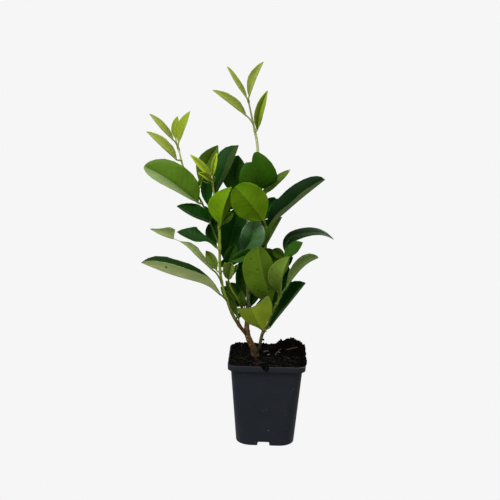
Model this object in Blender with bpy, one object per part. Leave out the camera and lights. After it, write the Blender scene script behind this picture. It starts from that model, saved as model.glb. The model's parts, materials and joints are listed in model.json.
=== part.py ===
"""Young cherry laurel in a square tapered nursery pot, one solid per sub-part.

Sizes are millimetres until a solid is made, then metres. +Z is up, the origin is the centre of the pot's
underside, -Y is the front and +X is to the right of someone facing the front.

The plant is laid out from one front elevation: (across, down, depth) is a place 970 units in front of an
eye 1.1 m from the pot and 0.45 m up, read across and down from the elevation's corner, and depth is how far
back (+) or forward (-) of the pot's middle it lies. seen() turns such a place into millimetres. Every limb is
a tapering tube along a few such places. Every leaf or leaf spray is a folded pad grown by leaf() from its
foot, middle and tip, its half width, the turn of its two halves and the outline it belongs to.
"""
import math

import bmesh
import bpy
import numpy as np

MM = 0.001

# ---- pot
RIM_WIDTH = 90.0
RIM_HEIGHT = 7.0
POT_HEIGHT = 100.0
BODY_TOP_WIDTH = 82.5
BASE_WIDTH = 68.0
WALL = 1.5
FLOOR = 1.8
BASE_CORNER = 18.0
BODY_CORNER = 9.0
RIM_CORNER = 10.0
NOTCH_WIDTH = 14.0
NOTCH_HEIGHT = 6.6
NOTCH_AT = -1.5
NOTCH_DEPTH = 11.5
DRAIN_RADIUS = 4.0
DRAIN_OUT = 15.0
# ---- soil
SOIL_EDGE = 93.0
SOIL_LEVEL = 95.9
MOUND_AT = (29.5, 33.0)
MOUND_SPREAD = (18.0, 11.0)
MOUND_RISE = 12.5
FIT_GAP = 0.35
# ---- leaves
PAD = 1.9
PAD_EDGE = 1.25
LEAST_HALF = 1.3
STALK_HALF = 0.95
CUP = 10.0
LEAST_OPENING = math.radians(98.0)
# ---- the eye of the front elevation
EYE_DIST, EYE_UP, EYE_SIDE = 1102.0, 446.0, -22.8
EYE_TURN, EYE_DIP, EYE_ROLL, EYE_LENGTH = -0.98, -11.27, 1.30, 970.0

for old in list(bpy.data.objects):
    bpy.data.objects.remove(old, do_unlink=True)


# ------------------------------------------------------------------ the elevation
def eye_frame():
    a, p, r = (math.radians(x) for x in (EYE_TURN, EYE_DIP, EYE_ROLL))
    fwd = np.array([math.sin(a) * math.cos(p), math.cos(a) * math.cos(p), math.sin(p)])
    right = np.array([math.cos(a), -math.sin(a), 0.0])
    up = np.cross(right, fwd)
    pos = -EYE_DIST * np.array([math.sin(a), math.cos(a), 0.0]) + EYE_SIDE * right + np.array([0, 0, EYE_UP])
    return pos, math.cos(r) * right + math.sin(r) * up, -math.sin(r) * right + math.cos(r) * up, fwd


EYE, ACROSS, UPWARD, AHEAD = eye_frame()


def seen(across, down, depth):
    d = AHEAD + ACROSS * (across - 250.0) / EYE_LENGTH + UPWARD * (250.0 - down) / EYE_LENGTH
    return EYE + d * (depth - EYE[1]) / d[1]


def down_of(p):
    d = np.asarray(p, float) - EYE
    return 250.0 - EYE_LENGTH * (d @ UPWARD) / (d @ AHEAD)


def unit(v):
    return v / max(np.linalg.norm(v), 1e-12)


def smooth_path(points, steps):
    """Natural cubic through the points, resampled evenly along its length."""
    pts = np.asarray(points, float)
    k = len(pts)
    run = np.concatenate([[0.0], np.cumsum(np.linalg.norm(np.diff(pts, axis=0), axis=1))])
    if k == 2:
        w = np.linspace(0.0, 1.0, steps + 1)[:, None]
        return pts[0] + (pts[1] - pts[0]) * w, np.repeat([unit(pts[1] - pts[0])], steps + 1, 0)
    h = np.diff(run)
    a = np.eye(k)
    b = np.zeros((k, 3))
    for i in range(1, k - 1):
        a[i, i - 1], a[i, i], a[i, i + 1] = h[i - 1], 2.0 * (h[i - 1] + h[i]), h[i]
        b[i] = 6.0 * ((pts[i + 1] - pts[i]) / h[i] - (pts[i] - pts[i - 1]) / h[i - 1])
    m = np.linalg.solve(a, b)
    fine = []
    for q in np.linspace(0.0, run[-1], 241):
        i = min(int(np.searchsorted(run, q, side="right")) - 1, k - 2)
        u, v = run[i + 1] - q, q - run[i]
        fine.append(m[i] * u**3 / (6 * h[i]) + m[i + 1] * v**3 / (6 * h[i])
                    + (pts[i] / h[i] - m[i] * h[i] / 6) * u + (pts[i + 1] / h[i] - m[i + 1] * h[i] / 6) * v)
    fine = np.array(fine)
    far = np.concatenate([[0.0], np.cumsum(np.linalg.norm(np.diff(fine, axis=0), axis=1))])
    q = np.linspace(0.0, far[-1], steps + 1)
    out = np.stack([np.interp(q, far, fine[:, c]) for c in range(3)], -1)
    tan = np.gradient(out, axis=0)
    return out, tan / np.linalg.norm(tan, axis=1)[:, None]


# ------------------------------------------------------------------ solids
TINTS = {
    "pot": (0.020, 0.022, 0.027), "soil": (0.012, 0.010, 0.007), "bark": (0.115, 0.065, 0.030),
    "stem": (0.170, 0.190, 0.050), "leaf_dark": (0.010, 0.040, 0.012), "leaf_mid": (0.050, 0.120, 0.018),
    "leaf_bright": (0.110, 0.210, 0.018), "leaf_young": (0.230, 0.330, 0.025), "leaf_pale": (0.190, 0.280, 0.090),
}
KINDS = {
    "young": "leaf_young", "young2": "leaf_young", "mid": "leaf_mid", "mid2": "leaf_mid", "olive": "leaf_mid",
    "olive2": "leaf_mid", "dark": "leaf_dark", "dark2": "leaf_dark", "bright": "leaf_bright",
    "bright2": "leaf_bright", "gloss": "leaf_dark", "gloss2": "leaf_dark", "green": "leaf_mid",
    "pale": "leaf_pale", "b5": "leaf_pale", "c4": "leaf_bright", "f1": "leaf_bright", "r5": "leaf_bright",
    "r6": "leaf_bright", "grey": "leaf_dark",
}


def add_solid(name, verts, faces, tint, smooth=True):
    mesh = bpy.data.meshes.new(name)
    mesh.from_pydata([tuple(float(c) * MM for c in v) for v in verts], [], faces)
    bm = bmesh.new()
    bm.from_mesh(mesh)
    bmesh.ops.triangulate(bm, faces=bm.faces[:], quad_method="SHORT_EDGE", ngon_method="BEAUTY")
    bmesh.ops.recalc_face_normals(bm, faces=bm.faces[:])
    if bm.calc_volume(signed=True) < 0.0:
        bmesh.ops.reverse_faces(bm, faces=bm.faces[:])
    for f in bm.faces:
        f.smooth = smooth
    bm.to_mesh(mesh)
    bm.free()
    ob = bpy.data.objects.new(name, mesh)
    bpy.context.scene.collection.objects.link(ob)
    mat = bpy.data.materials.new("mat_" + name)
    mat.use_nodes = True
    bsdf = mat.node_tree.nodes["Principled BSDF"]
    bsdf.inputs["Base Color"].default_value = (*TINTS[tint], 1.0)
    bsdf.inputs["Roughness"].default_value = 0.45 if tint.startswith("leaf") else 0.6
    mesh.materials.append(mat)
    return ob


def rounded_square(half, corner, z, per_corner=3, between=0):
    pts = []
    for quarter in range(4):
        base = math.pi / 2 * quarter
        cx = (half - corner) * (1 if quarter in (0, 3) else -1)
        cy = (half - corner) * (1 if quarter in (0, 1) else -1)
        for k in range(per_corner + 1):
            t = base + math.pi / 2 * k / per_corner
            pts.append((cx + corner * math.cos(t), cy + corner * math.sin(t), z))
    if not between:
        return pts
    out = []
    for i, p in enumerate(pts):
        out.append(p)
        if i % (per_corner + 1) == per_corner:
            q = pts[(i + 1) % len(pts)]
            out += [tuple(p[c] + (q[c] - p[c]) * k / (between + 1) for c in range(3)) for k in range(1, between + 1)]
    return out


def loft(rings, close_start=True, close_end=True):
    n = len(rings[0])
    verts = [p for ring in rings for p in ring]
    faces = []
    for r in range(len(rings) - 1):
        for i in range(n):
            j = (i + 1) % n
            faces.append((r * n + i, r * n + j, (r + 1) * n + j, (r + 1) * n + i))
    if close_start:
        faces.append(tuple(range(n - 1, -1, -1)))
    if close_end:
        faces.append(tuple((len(rings) - 1) * n + i for i in range(n)))
    return verts, faces


def outer_half(z):
    return (BASE_WIDTH + (BODY_TOP_WIDTH - BASE_WIDTH) * z / (POT_HEIGHT - RIM_HEIGHT)) / 2


def corner_at(z):
    return BASE_CORNER + (BODY_CORNER - BASE_CORNER) * z / (POT_HEIGHT - RIM_HEIGHT)


def build_pot():
    under = POT_HEIGHT - RIM_HEIGHT
    shelf = under + WALL
    rim = RIM_WIDTH / 2
    rings = [
        rounded_square(outer_half(0) - 0.6, BASE_CORNER, 0.0),
        rounded_square(outer_half(0.7), BASE_CORNER, 0.7),
        rounded_square(outer_half(under), BODY_CORNER, under),
        rounded_square(rim - 0.4, RIM_CORNER, under),
        rounded_square(rim, RIM_CORNER, POT_HEIGHT - 0.6),
        rounded_square(rim - 0.4, RIM_CORNER, POT_HEIGHT),
        rounded_square(rim - WALL + 0.1, RIM_CORNER - WALL, POT_HEIGHT),
        rounded_square(rim - WALL - 0.3, RIM_CORNER - WALL, shelf),
        rounded_square(outer_half(under) - WALL, BODY_CORNER - WALL, shelf),
        rounded_square(outer_half(FLOOR) - WALL, BASE_CORNER - WALL, FLOOR),
    ]
    verts, faces = loft(rings)
    pot = add_solid("pot", verts, faces, "pot")
    extras, cutters = [], []

    def block(name, xs, ys, zs, turn, arch=False):
        x, (y0, y1), (z0, z1) = xs, ys, zs
        if arch:
            prof = [(-x, z0), (x, z0)]
            for k in range(7):
                t = math.pi * k / 6
                prof.append((x * math.cos(t) * (1.0 if k in (0, 6) else 0.96), z1 * 0.35 + (z1 * 0.65) * math.sin(t)))
        else:
            prof = [(-x, z0), (x, z0), (x, z1), (-x, z1)]
        prof = [(px + NOTCH_AT, pz) for px, pz in prof]
        ca, sa = math.cos(turn), math.sin(turn)
        rings_ = [[(px * ca - yy * sa, px * sa + yy * ca, pz) for px, pz in prof] for yy in (y0, y1)]
        v, f = loft(rings_)
        ob = add_solid(name, v, f, "pot")
        ob.hide_render = True
        ob.display_type = "WIRE"
        return ob

    for k in range(4):
        turn = math.pi / 2 * k
        extras.append(block("alcove_%d" % k, NOTCH_WIDTH / 2 + WALL, (-outer_half(0) + 1.0, -outer_half(0) + NOTCH_DEPTH + WALL + 0.4),
                            (0.3, NOTCH_HEIGHT + WALL), turn))
        cutters.append(block("notch_%d" % k, NOTCH_WIDTH / 2, (-outer_half(0) - 3.0, -outer_half(0) + NOTCH_DEPTH),
                             (-1.0, NOTCH_HEIGHT), turn, arch=True))
        a = turn + math.pi / 4
        cx, cy = DRAIN_OUT * math.cos(a), DRAIN_OUT * math.sin(a)
        ring = [[(cx + DRAIN_RADIUS * math.cos(math.tau * i / 12), cy + DRAIN_RADIUS * math.sin(math.tau * i / 12), z)
                 for i in range(12)] for z in (-1.0, FLOOR + 1.0)]
        v, f = loft(ring)
        hole = add_solid("drain_%d" % k, v, f, "pot")
        hole.hide_render = True
        hole.display_type = "WIRE"
        cutters.append(hole)
    for tool, how in [(t, "UNION") for t in extras] + [(t, "DIFFERENCE") for t in cutters]:
        mod = pot.modifiers.new(tool.name, "BOOLEAN")
        mod.solver = "EXACT"
        mod.operation = how
        mod.object = tool
    bpy.context.view_layer.update()
    done = bpy.data.meshes.new_from_object(pot.evaluated_get(bpy.context.evaluated_depsgraph_get()))
    pot.modifiers.clear()
    mat = pot.data.materials[0]
    pot.data = done
    done.materials.clear()
    done.materials.append(mat)
    for tool in extras + cutters:
        bpy.data.objects.remove(tool, do_unlink=True)
    return pot


def ground(x, y):
    """Height of the compost: nearly level, with a mound in the back right corner."""
    dx, dy = (x - MOUND_AT[0]) / MOUND_SPREAD[0], (y - MOUND_AT[1]) / MOUND_SPREAD[1]
    mound = MOUND_RISE * math.exp(-(dx**4 + dy**4))
    rough = 0.5 * math.sin(0.31 * x + 1.3) * math.cos(0.27 * y) + 0.35 * math.sin(0.7 * x - 0.5 * y)
    near = math.exp(-(math.hypot(x - TRUNK_FOOT[0], y - TRUNK_FOOT[1]) / 15.0) ** 4)
    bank = 2.6 * math.exp(-((43.0 - y) / 15.0) ** 2) + 1.8 * math.exp(-((x + 43.0) / 11.0) ** 2)
    return SOIL_LEVEL + (mound + rough + bank * (1.0 - min(1.0, mound / 4.0))) * (1.0 - near)


def build_soil():
    def wall_half(z):
        return outer_half(z) - WALL - FIT_GAP

    rings = [
        rounded_square(18.5, 5.0, FLOOR + FIT_GAP, 2, 2),
        rounded_square(19.5, 5.0, NOTCH_HEIGHT + WALL + 1.0, 2, 2),
        rounded_square(wall_half(11.0) - 0.6, corner_at(11.0) - WALL + 0.4, 11.0, 2, 2),
        rounded_square(wall_half(SOIL_EDGE), BODY_CORNER - WALL + 0.4, SOIL_EDGE, 2, 2),
    ]
    for f in (0.90, 0.70, 0.48, 0.26, 0.10):
        flat = rounded_square(wall_half(SOIL_EDGE) * f, (BODY_CORNER - WALL + 0.4) * f, 0.0, 2, 2)
        level = [(x, y, ground(x, y)) for x, y, _ in flat]
        rings.append(level)
    verts, faces = loft(rings)
    return add_solid("soil", verts, faces, "soil")


# ------------------------------------------------------------------ limbs
# each place: across, down, depth, radius in mm
LIMBS = {
    "trunk": [(254.8, 353.5, 16, 4.5), (253.2, 348, 15, 3.9), (250.3, 342, 14, 3.7), (247.3, 333.6, 13.2, 3.5)],
    "main_stem": [(247.1, 332.9, 13.4, 2.9), (247.3, 318, 15, 2.5), (248.0, 302, 16, 2.2), (248.2, 287, 15, 2.1),
                  (250, 262, 14, 2.0), (253, 235, 13, 1.9), (256.5, 205, 12, 1.7), (258.6, 175, 11, 1.6),
                  (257.9, 152, 10, 1.65), (256.7, 140, 9, 1.55), (253.7, 125.8, 8, 1.25), (250.6, 111.2, 7, 1.0),
                  (248.3, 100.5, 6, 0.9)],
    "left_stem": [(243.0, 330.3, 8.6, 2.2), (238.0, 323.5, 5, 2.1), (231.9, 313, 0, 2.0), (228, 303, -3, 1.6),
                  (223.6, 290, -6, 1.5), (220.6, 275, -8, 1.5), (219.7, 250, -9, 1.6), (219.4, 229, -9, 1.5),
                  (217.3, 210, -7, 1.3), (214.5, 196, -5, 1.2), (212.3, 181, -5, 1.0)],
    "right_stem": [(258.6, 348.8, 12.4, 2.0), (260.8, 340, 11.6, 2.0), (263.0, 332.5, 9, 2.0), (268, 325, 5, 1.7),
                   (273, 311, 1, 1.5), (278.0, 301.5, -3, 1.5), (280.2, 292, -4, 1.4), (282, 272, 2, 1.1),
                   (284.5, 258, 8, 0.9)],
    "left_twig": [(218.4, 243, -5.6, 1.1), (212.5, 229, -1, 1.05), (207.5, 216, 3, 1.0), (202, 203, 6, 1.1),
                  (194, 188, 8, 1.1), (187, 174.5, 8, 1.1), (182.8, 165.6, 7, 1.05), (179.3, 151.8, 6, 1.0),
                  (177.6, 146.4, 6, 0.9)],
    "inner_twig": [(244.3, 311, 11.6, 1.2), (239.5, 301.5, 5, 1.1), (233, 292, 0, 1.1), (228.2, 281, -3, 0.9)],
}
TRUNK_FOOT = seen(*LIMBS["trunk"][0][:3])


def limb_line(name, steps):
    rows = LIMBS[name]
    places = np.array([seen(a, d, y) for a, d, y, _ in rows])
    run = np.concatenate([[0.0], np.cumsum(np.linalg.norm(np.diff(places, axis=0), axis=1))])
    line, tan = smooth_path(places, steps)
    return line, tan, np.interp(np.linspace(0, run[-1], steps + 1), run, [r[3] for r in rows])


def ring_about(centre, tangent, radius, sides, spin=0.0):
    side = unit(np.cross(tangent, (0.0, 1.0, 0.0)))
    front = unit(np.cross(side, tangent))
    return [centre + radius * (math.cos(t) * side + math.sin(t) * front)
            for t in (math.tau * k / sides + spin for k in range(sides))]


def build_limb(name, steps, sides, tint):
    line, tan, rad = limb_line(name, steps)
    if name == "trunk":
        # flat cut at the compost, then the root flare
        line[0][2] = SOIL_LEVEL + FIT_GAP
        tan[0] = (0.0, 0.0, 1.0)
        rad = rad + np.array([0.9 * math.exp(-4.0 * i / steps * 2.2) for i in range(steps + 1)])
    if name == "main_stem":
        # starts square on the cut top of the trunk
        below, lean, _ = limb_line("trunk", 6)
        tan[0] = lean[-1]
        line[0] = below[-1] + lean[-1] * FIT_GAP
    rings = [ring_about(c, t, r, sides) for c, t, r in zip(line, tan, rad)]
    verts, faces = loft(rings)
    return add_solid(name, verts, faces, tint)


# ------------------------------------------------------------------ leaves and leaf sprays
# half width along the blade, foot 0 to tip 1
OUTLINES = {
    "laurel": [(0, .05), (.06, .22), (.15, .50), (.28, .80), (.42, .96), (.55, 1.0), (.68, .95), (.80, .76), (.90, .48), (.96, .22), (1, .03)],
    "round": [(0, .06), (.05, .26), (.13, .58), (.25, .86), (.40, 1.0), (.55, 1.0), (.70, .93), (.83, .76), (.93, .50), (.98, .28), (1, .06)],
    "broad": [(0, .05), (.05, .22), (.15, .48), (.30, .74), (.48, .92), (.64, 1.0), (.78, .95), (.89, .72), (.96, .40), (1, .04)],
    "lance": [(0, .06), (.08, .30), (.20, .64), (.36, .94), (.50, 1.0), (.64, .92), (.78, .68), (.90, .36), (.96, .16), (1, .03)],
    "full": [(0, .06), (.04, .24), (.10, .52), (.20, .80), (.35, .96), (.50, 1.0), (.65, .97), (.78, .87), (.88, .70), (.95, .48), (.985, .27), (1, .06)],
    "cut": [(0, .05), (.08, .25), (.22, .55), (.45, .85), (.70, .98), (.90, 1.0), (1, .98)],
    "narrow_foot": [(0, .05), (.06, .10), (.15, .26), (.25, .50), (.38, .82), (.5, .97), (.62, 1.0), (.75, .96), (.86, .80), (.94, .52), (.98, .28), (1, .05)],
    "heart": [(0, .05), (.06, .20), (.15, .50), (.25, .72), (.38, .90), (.5, .98), (.62, 1.0), (.75, .96), (.86, .80), (.94, .52), (.98, .28), (1, .05)],
    "spatula": [(0, .06), (.04, .26), (.10, .56), (.20, .84), (.35, .98), (.50, 1.0), (.65, .95), (.78, .82), (.88, .60), (.95, .38), (.985, .20), (1, .05)],
    "wide_foot": [(0, .10), (.06, .42), (.15, .74), (.28, .95), (.42, 1.0), (.55, .97), (.70, .84), (.83, .61), (.93, .33), (1, .04)],
    "low_belly": [(0, .05), (.06, .24), (.15, .55), (.28, .86), (.42, 1.0), (.55, .98), (.68, .84), (.80, .60), (.90, .36), (.96, .18), (1, .03)],
    "long_foot": [(0, .05), (.08, .20), (.2, .50), (.32, .80), (.45, .96), (.6, 1.0), (.75, .96), (.88, .72), (.95, .42), (1, .03)],
    "winged_stalk": [(0, .13), (.1, .17), (.22, .22), (.32, .42), (.44, .82), (.56, 1.0), (.70, .92), (.84, .62), (.94, .32), (1, .03)],
    "bitten": [(0, .06), (.10, .22), (.25, .46), (.36, .55), (.48, .40), (.56, .12), (.60, .04), (.685, .05), (.71, .94), (.76, .93), (.82, .76), (.92, .30), (1, .03)],
}


def turn_at(turn, s):
    return math.radians(turn if not isinstance(turn, tuple) else turn[0] + (turn[1] - turn[0]) * s)


def leaf_sheet(path, half, turn_a, turn_b, face, outline, steps, across, lobes=(0, 0), shoulder=(0, 0), hs=(1, 1), least=0.0):
    """Middle surface of a leaf: rows foot to tip, columns margin, midrib, margin. The two turns are how far each
    half leans back from the elevation (+) or towards the eye (-)."""
    line, tan = smooth_path([seen(*p) for p in path], steps)
    at, width = zip(*OUTLINES[outline])
    grid = np.zeros((steps + 1, 2 * across + 1, 3))
    for i in range(steps + 1):
        s = i / steps
        look = unit(line[i] - EYE)
        t = tan[i]
        away = unit(look - (look @ t) * t)
        m = unit(t - (t @ look) * look)
        left = np.cross(m, look)
        left = unit(left - (left @ t) * t)
        cup = math.radians(CUP) * face
        for side, toward, turn in ((-1, left, turn_a), (1, -left, turn_b)):
            k = 0 if side < 0 else 1
            w = max(half * hs[k] * np.interp(s, at, width), least)
            # where the blade is narrow its two halves open out flat
            both = turn_at(turn_a, s) + turn_at(turn_b, s)
            fold = min(1.0, max(0.0, (w - 1.4) / 3.6), LEAST_OPENING / max(abs(both), 1e-6))
            turn = turn_at(turn, s) - both * (1.0 - fold) / 2
            p = line[i].copy()
            for j in range(1, across + 1):
                a = turn + cup * ((j - 0.5) / across - 0.5) * 1.2 * fold
                p = p + w / across * (math.cos(a) * toward + math.sin(a) * away)
                share = w * j / across / half
                grid[i, across + side * j] = (p + t * lobes[k] * 4 * share * max(1 - share, 0.0) * s**3
                                              + t * shoulder[k] * share**1.5 * s**3)
        grid[i, across] = line[i]
    return grid, line, tan


def pad_solid(name, grid, tint):
    rows, cols = grid.shape[0], grid.shape[1]
    mid = cols // 2
    nrm = np.zeros_like(grid)
    for i in range(rows):
        for j in range(cols):
            a = grid[min(i + 1, rows - 1), j] - grid[max(i - 1, 0), j]
            b = grid[i, min(j + 1, cols - 1)] - grid[i, max(j - 1, 0)]
            if j == mid:
                b = unit(grid[i, mid + 1] - grid[i, mid]) + unit(grid[i, mid] - grid[i, mid - 1])
            nrm[i, j] = unit(np.cross(b, a))
    verts = []
    for i in range(rows):
        reach = np.linalg.norm(grid[i, 0] - grid[i, mid])
        thick = min(PAD, max(PAD_EDGE, 0.55 * reach))
        for j in range(cols):
            t = thick + (PAD_EDGE - thick) * (abs(j - mid) / mid) ** 2
            verts.append(grid[i, j] + nrm[i, j] * t / 2)
            verts.append(grid[i, j] - nrm[i, j] * t / 2)

    def v(i, j, low):
        return 2 * (i * cols + j) + low

    faces = []
    for i in range(rows - 1):
        for j in range(cols - 1):
            faces.append((v(i, j, 0), v(i + 1, j, 0), v(i + 1, j + 1, 0), v(i, j + 1, 0)))
            faces.append((v(i, j, 1), v(i, j + 1, 1), v(i + 1, j + 1, 1), v(i + 1, j, 1)))
        faces.append((v(i, 0, 0), v(i, 0, 1), v(i + 1, 0, 1), v(i + 1, 0, 0)))
        faces.append((v(i, cols - 1, 0), v(i + 1, cols - 1, 0), v(i + 1, cols - 1, 1), v(i, cols - 1, 1)))
    for j in range(cols - 1):
        faces.append((v(0, j, 0), v(0, j + 1, 0), v(0, j + 1, 1), v(0, j, 1)))
        faces.append((v(rows - 1, j, 0), v(rows - 1, j, 1), v(rows - 1, j + 1, 1), v(rows - 1, j + 1, 0)))
    return add_solid(name, verts, faces, tint)


STEM_LINES = {}


def on_stem(stem, down):
    if stem not in STEM_LINES:
        line, tan, rad = limb_line(stem, 200)
        STEM_LINES[stem] = (line, tan, rad, np.array([down_of(p) for p in line]))
    line, tan, rad, downs = STEM_LINES[stem]
    k = int(np.argmin(abs(downs - down)))
    return line[k], tan[k], rad[k]


def leaf(name, stem, node_down, path, half, turn_a, turn_b, face, kind, outline, **extra):
    length = np.linalg.norm(seen(*path[-1]) - seen(*path[0]))
    steps = 4 if length < 38 else 5 if length < 60 else 6
    across = 2
    grid, line, tan = leaf_sheet(path, half, turn_a, turn_b, face, outline, steps, across, least=LEAST_HALF, **extra)
    axis, along, rad = on_stem(stem, node_down)
    base = grid[0, across]
    off = (base - axis) - ((base - axis) @ along) * along
    start = axis + unit(off) * (rad + FIT_GAP + STALK_HALF)
    if np.linalg.norm(off) < rad + FIT_GAP + STALK_HALF:
        print("close foot", name, round(float(np.linalg.norm(off)), 2), "needs", round(rad + FIT_GAP + STALK_HALF, 2))
    reach = np.linalg.norm(base - start)
    if reach > 1.8:
        if unit(base - start) @ tan[0] < 0.2:
            print("sharp foot", name, round(float(unit(base - start) @ tan[0]), 2))
        # the stalk bends from the limb into the line of the midrib
        n = 1 if reach < 5 else 2
        bend = base - tan[0] * reach * 0.4
        side = unit(grid[0, -1] - grid[0, 0])
        stalk = []
        for k in range(n):
            w = k / n
            c = (1 - w) ** 2 * start + 2 * w * (1 - w) * bend + w * w * base
            d = unit((1 - w) * (bend - start) + w * (base - bend))
            cross = unit(side - (side @ d) * d) * STALK_HALF
            stalk.append([c + cross * (q / across) for q in range(-across, across + 1)])
        grid = np.concatenate([np.array(stalk), grid], 0)
    return pad_solid(name, grid, KINDS[kind])


build_pot()
build_soil()
build_limb("trunk", 6, 10, "bark")
build_limb("main_stem", 13, 8, "bark")
build_limb("left_stem", 11, 8, "stem")
build_limb("right_stem", 9, 8, "stem")
build_limb("left_twig", 9, 6, "stem")
build_limb("inner_twig", 4, 6, "stem")

# name, limb it grows on, how far down the elevation its node is, path of the midrib,
# half width, turn of each half, side towards the eye, kind, outline
leaf("leaf_tip_left", "main_stem", 101, [(247, 97.8, 2), (237.2, 84.4, -3), (226.8, 65.7, -6)],
     9, -124, 56, 1, "young", "lance")
leaf("leaf_tip_right", "main_stem", 101, [(249.0, 96.2, 9), (255.8, 78.0, 6), (263.6, 61.5, 7)],
     9.8, 32, -148, 1, "young", "lance")
leaf("leaf_tip_low_left", "main_stem", 122, [(246.3, 115.6, 5), (230.6, 103.6, -4), (212.3, 89.8, -8)],
     10.0, -148, 32, 1, "young", "lance")
leaf("leaf_tip_low_right", "main_stem", 131, [(257.2, 130, 5), (260.3, 109, -3), (267.6, 90.4, -2)],
     7.9, -45, -52, 1, "young2", "lance")
leaf("leaf_side_tip_outer", "left_twig", 148, [(173.6, 140.2, 1), (162.2, 129.2, -4), (149.2, 113.3, -6)],
     9.4, -136, 44, 1, "young", "lance")
leaf("leaf_side_tip_low", "left_twig", 160, [(176.6, 159.5, 2), (162.6, 147, -7), (146.3, 131.2, -9)],
     11.2, -146, 34, 1, "young", "lance")
leaf("leaf_side_tip_middle", "left_twig", 146.4, [(175.8, 139, 10), (174.9, 128.5, 12), (177.7, 116, 13)],
     5.5, 38, -30, 1, "young2", "lance")
leaf("leaf_side_tip_inner", "left_twig", 150, [(178.4, 143, 4), (182.3, 127.6, 2), (190.2, 111, 5)],
     8, 34, -66, 1, "young", "lance")
leaf("leaf_middle_tip_left", "left_stem", 181, [(211.2, 178, -9), (203.6, 168.2, -14), (190, 154.6, -15)],
     5.9, -52, -40, 1, "young", "lance")
leaf("leaf_middle_tip_upright", "left_stem", 181, [(212.7, 176.5, -1.5), (213.8, 165.5, -4), (217.1, 152.7, -2)],
     4.8, -50, -50, 1, "young", "lance")
leaf("leaf_middle_tip_low", "left_stem", 184, [(210.6, 181, -11), (205.4, 175.8, -20), (197.8, 173, -29)],
     5.5, -50, -40, 1, "young", "lance")
leaf("leaf_left_broad", "left_twig", 203, [(198, 202.5, 1), (183, 190.4, -5), (168.3, 179.2, -8), (144.2, 166.2, -6)],
     22.0, (-86, -44), -5, 1, "mid", "spatula", hs=(0.8, 1))
leaf("leaf_upper_left_rear", "left_twig", 190, [(201, 185, 20), (206.5, 165, 32), (218, 145.2, 36)],
     13.5, -28, -25, 1, "olive", "lance")
leaf("leaf_upper_left_folded", "left_stem", 203, [(214.8, 195, 10), (228.8, 170, 14), (238.5, 145.5, 24)],
     19.3, 10, -108, 1, "dark", "broad")
leaf("leaf_upper_shade", "main_stem", 200, [(241, 195, 18), (234, 177, 26), (238.5, 155.5, 34)],
     17, -30, -25, 1, "dark2", "laurel")
leaf("leaf_upper_notched", "main_stem", 190, [(261, 189, 4), (257.5, 176, -4), (251.8, 162, -4)],
     22.8, -16, -16, 1, "mid2", "round", lobes=(3, 11), shoulder=(0, 5))
leaf("leaf_upper_right_narrow", "main_stem", 200, [(262.5, 194, 8), (276.6, 179.9, 12), (290.3, 169.6, 14)],
     5.8, 35, -25, 1, "olive", "wide_foot")
leaf("leaf_centre_round", "main_stem", 232, [(263.5, 220.5, -20), (249.5, 202, -36), (235.5, 186.8, -44)],
     20.4, 12, 12, -1, "bright", "round")
leaf("leaf_centre_left", "left_stem", 228, [(220.6, 225, -15), (223.4, 209, -26), (231.5, 187, -32)],
     19, 14, 62, -1, "bright2", "low_belly", hs=(1.0, 0.9))
leaf("leaf_centre_glossy", "main_stem", 256, [(243, 252.5, -2), (252.0, 236.5, -10), (254.5, 218.5, -6)],
     15, -26, -34, 1, "gloss", "laurel")
leaf("leaf_centre_shade", "left_stem", 262, [(226, 264, 12), (231, 238, 22), (240, 206, 24)],
     18, -25, -22, 1, "dark", "laurel")
leaf("leaf_inner_low", "inner_twig", 282, [(228.4, 279.5, -6), (230, 271, -12), (232, 262.5, -16)],
     10, -28, -62, 1, "green", "cut")
leaf("leaf_left_upper", "left_twig", 222, [(208.6, 222.0, -3), (192.5, 216.0, -10), (176.8, 206.2, -12)],
     15.6, -98, 18, 1, "dark", "wide_foot")
leaf("leaf_left_middle", "left_stem", 249, [(216, 247.2, -8), (206, 240.9, -10), (196, 240.4, -12), (186.5, 237.2, -12), (177, 231.8, -12)],
     16.5, -84, 18, 1, "gloss2", "winged_stalk", hs=(0.75, 1))
leaf("leaf_left_bitten", "left_stem", 282, [(213.6, 270.5, -18), (197.5, 256, -29), (179.5, 241, -35), (165, 236.2, -38), (149.8, 228.6, -39)],
     15.5, -140, 36, 1, "pale", "bitten")
leaf("leaf_left_long", "left_stem", 299, [(220.5, 294.5, -12), (208, 285.4, -20), (183, 277.5, -32), (158, 269.2, -38), (141.3, 262.6, -40)],
     20.5, -122, 30, 1, "b5", "long_foot")
leaf("leaf_left_stub", "left_stem", 272, [(216.5, 270, -2), (212.5, 261, -2), (206, 250.8, -2)],
     7.5, -36, -40, 1, "olive2", "laurel")
leaf("leaf_low_left", "left_stem", 325, [(238.6, 319, 8), (233.4, 301, 10), (220.5, 287.0, 10)],
     12.5, 14, -84, 1, "dark2", "laurel", hs=(0.6, 1))
leaf("leaf_low_shade", "main_stem", 304, [(243.5, 303, 21), (240.5, 283, 26), (243, 255, 25)],
     13, -25, -25, 1, "dark", "laurel", hs=(0.5, 1))
leaf("leaf_front_large", "right_stem", 311, [(271, 303, -12), (264, 281, -34), (257.8, 247.2, -44)],
     22.0, 8, (22, 66), -1, "c4", "heart")
leaf("leaf_front_cut", "right_stem", 331, [(262.6, 330.5, -4), (256.8, 320, -22), (251, 307.5, -38)],
     20, (46, -4), 8, -1, "f1", "cut", hs=(0.76, 1.08), shoulder=(17, 2.5), lobes=(0, -2.8))
leaf("leaf_right_long", "main_stem", 222, [(267.5, 227, 2), (283, 213.8, 0), (303, 196.8, 0), (325, 179.6, 2)],
     18.4, 12, -104, 1, "dark", "full")
leaf("leaf_right_inner", "main_stem", 256, [(264.5, 248, 12), (272.2, 234, 14), (282, 217, 16)],
     14, 32, -98, 1, "olive2", "laurel")
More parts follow.
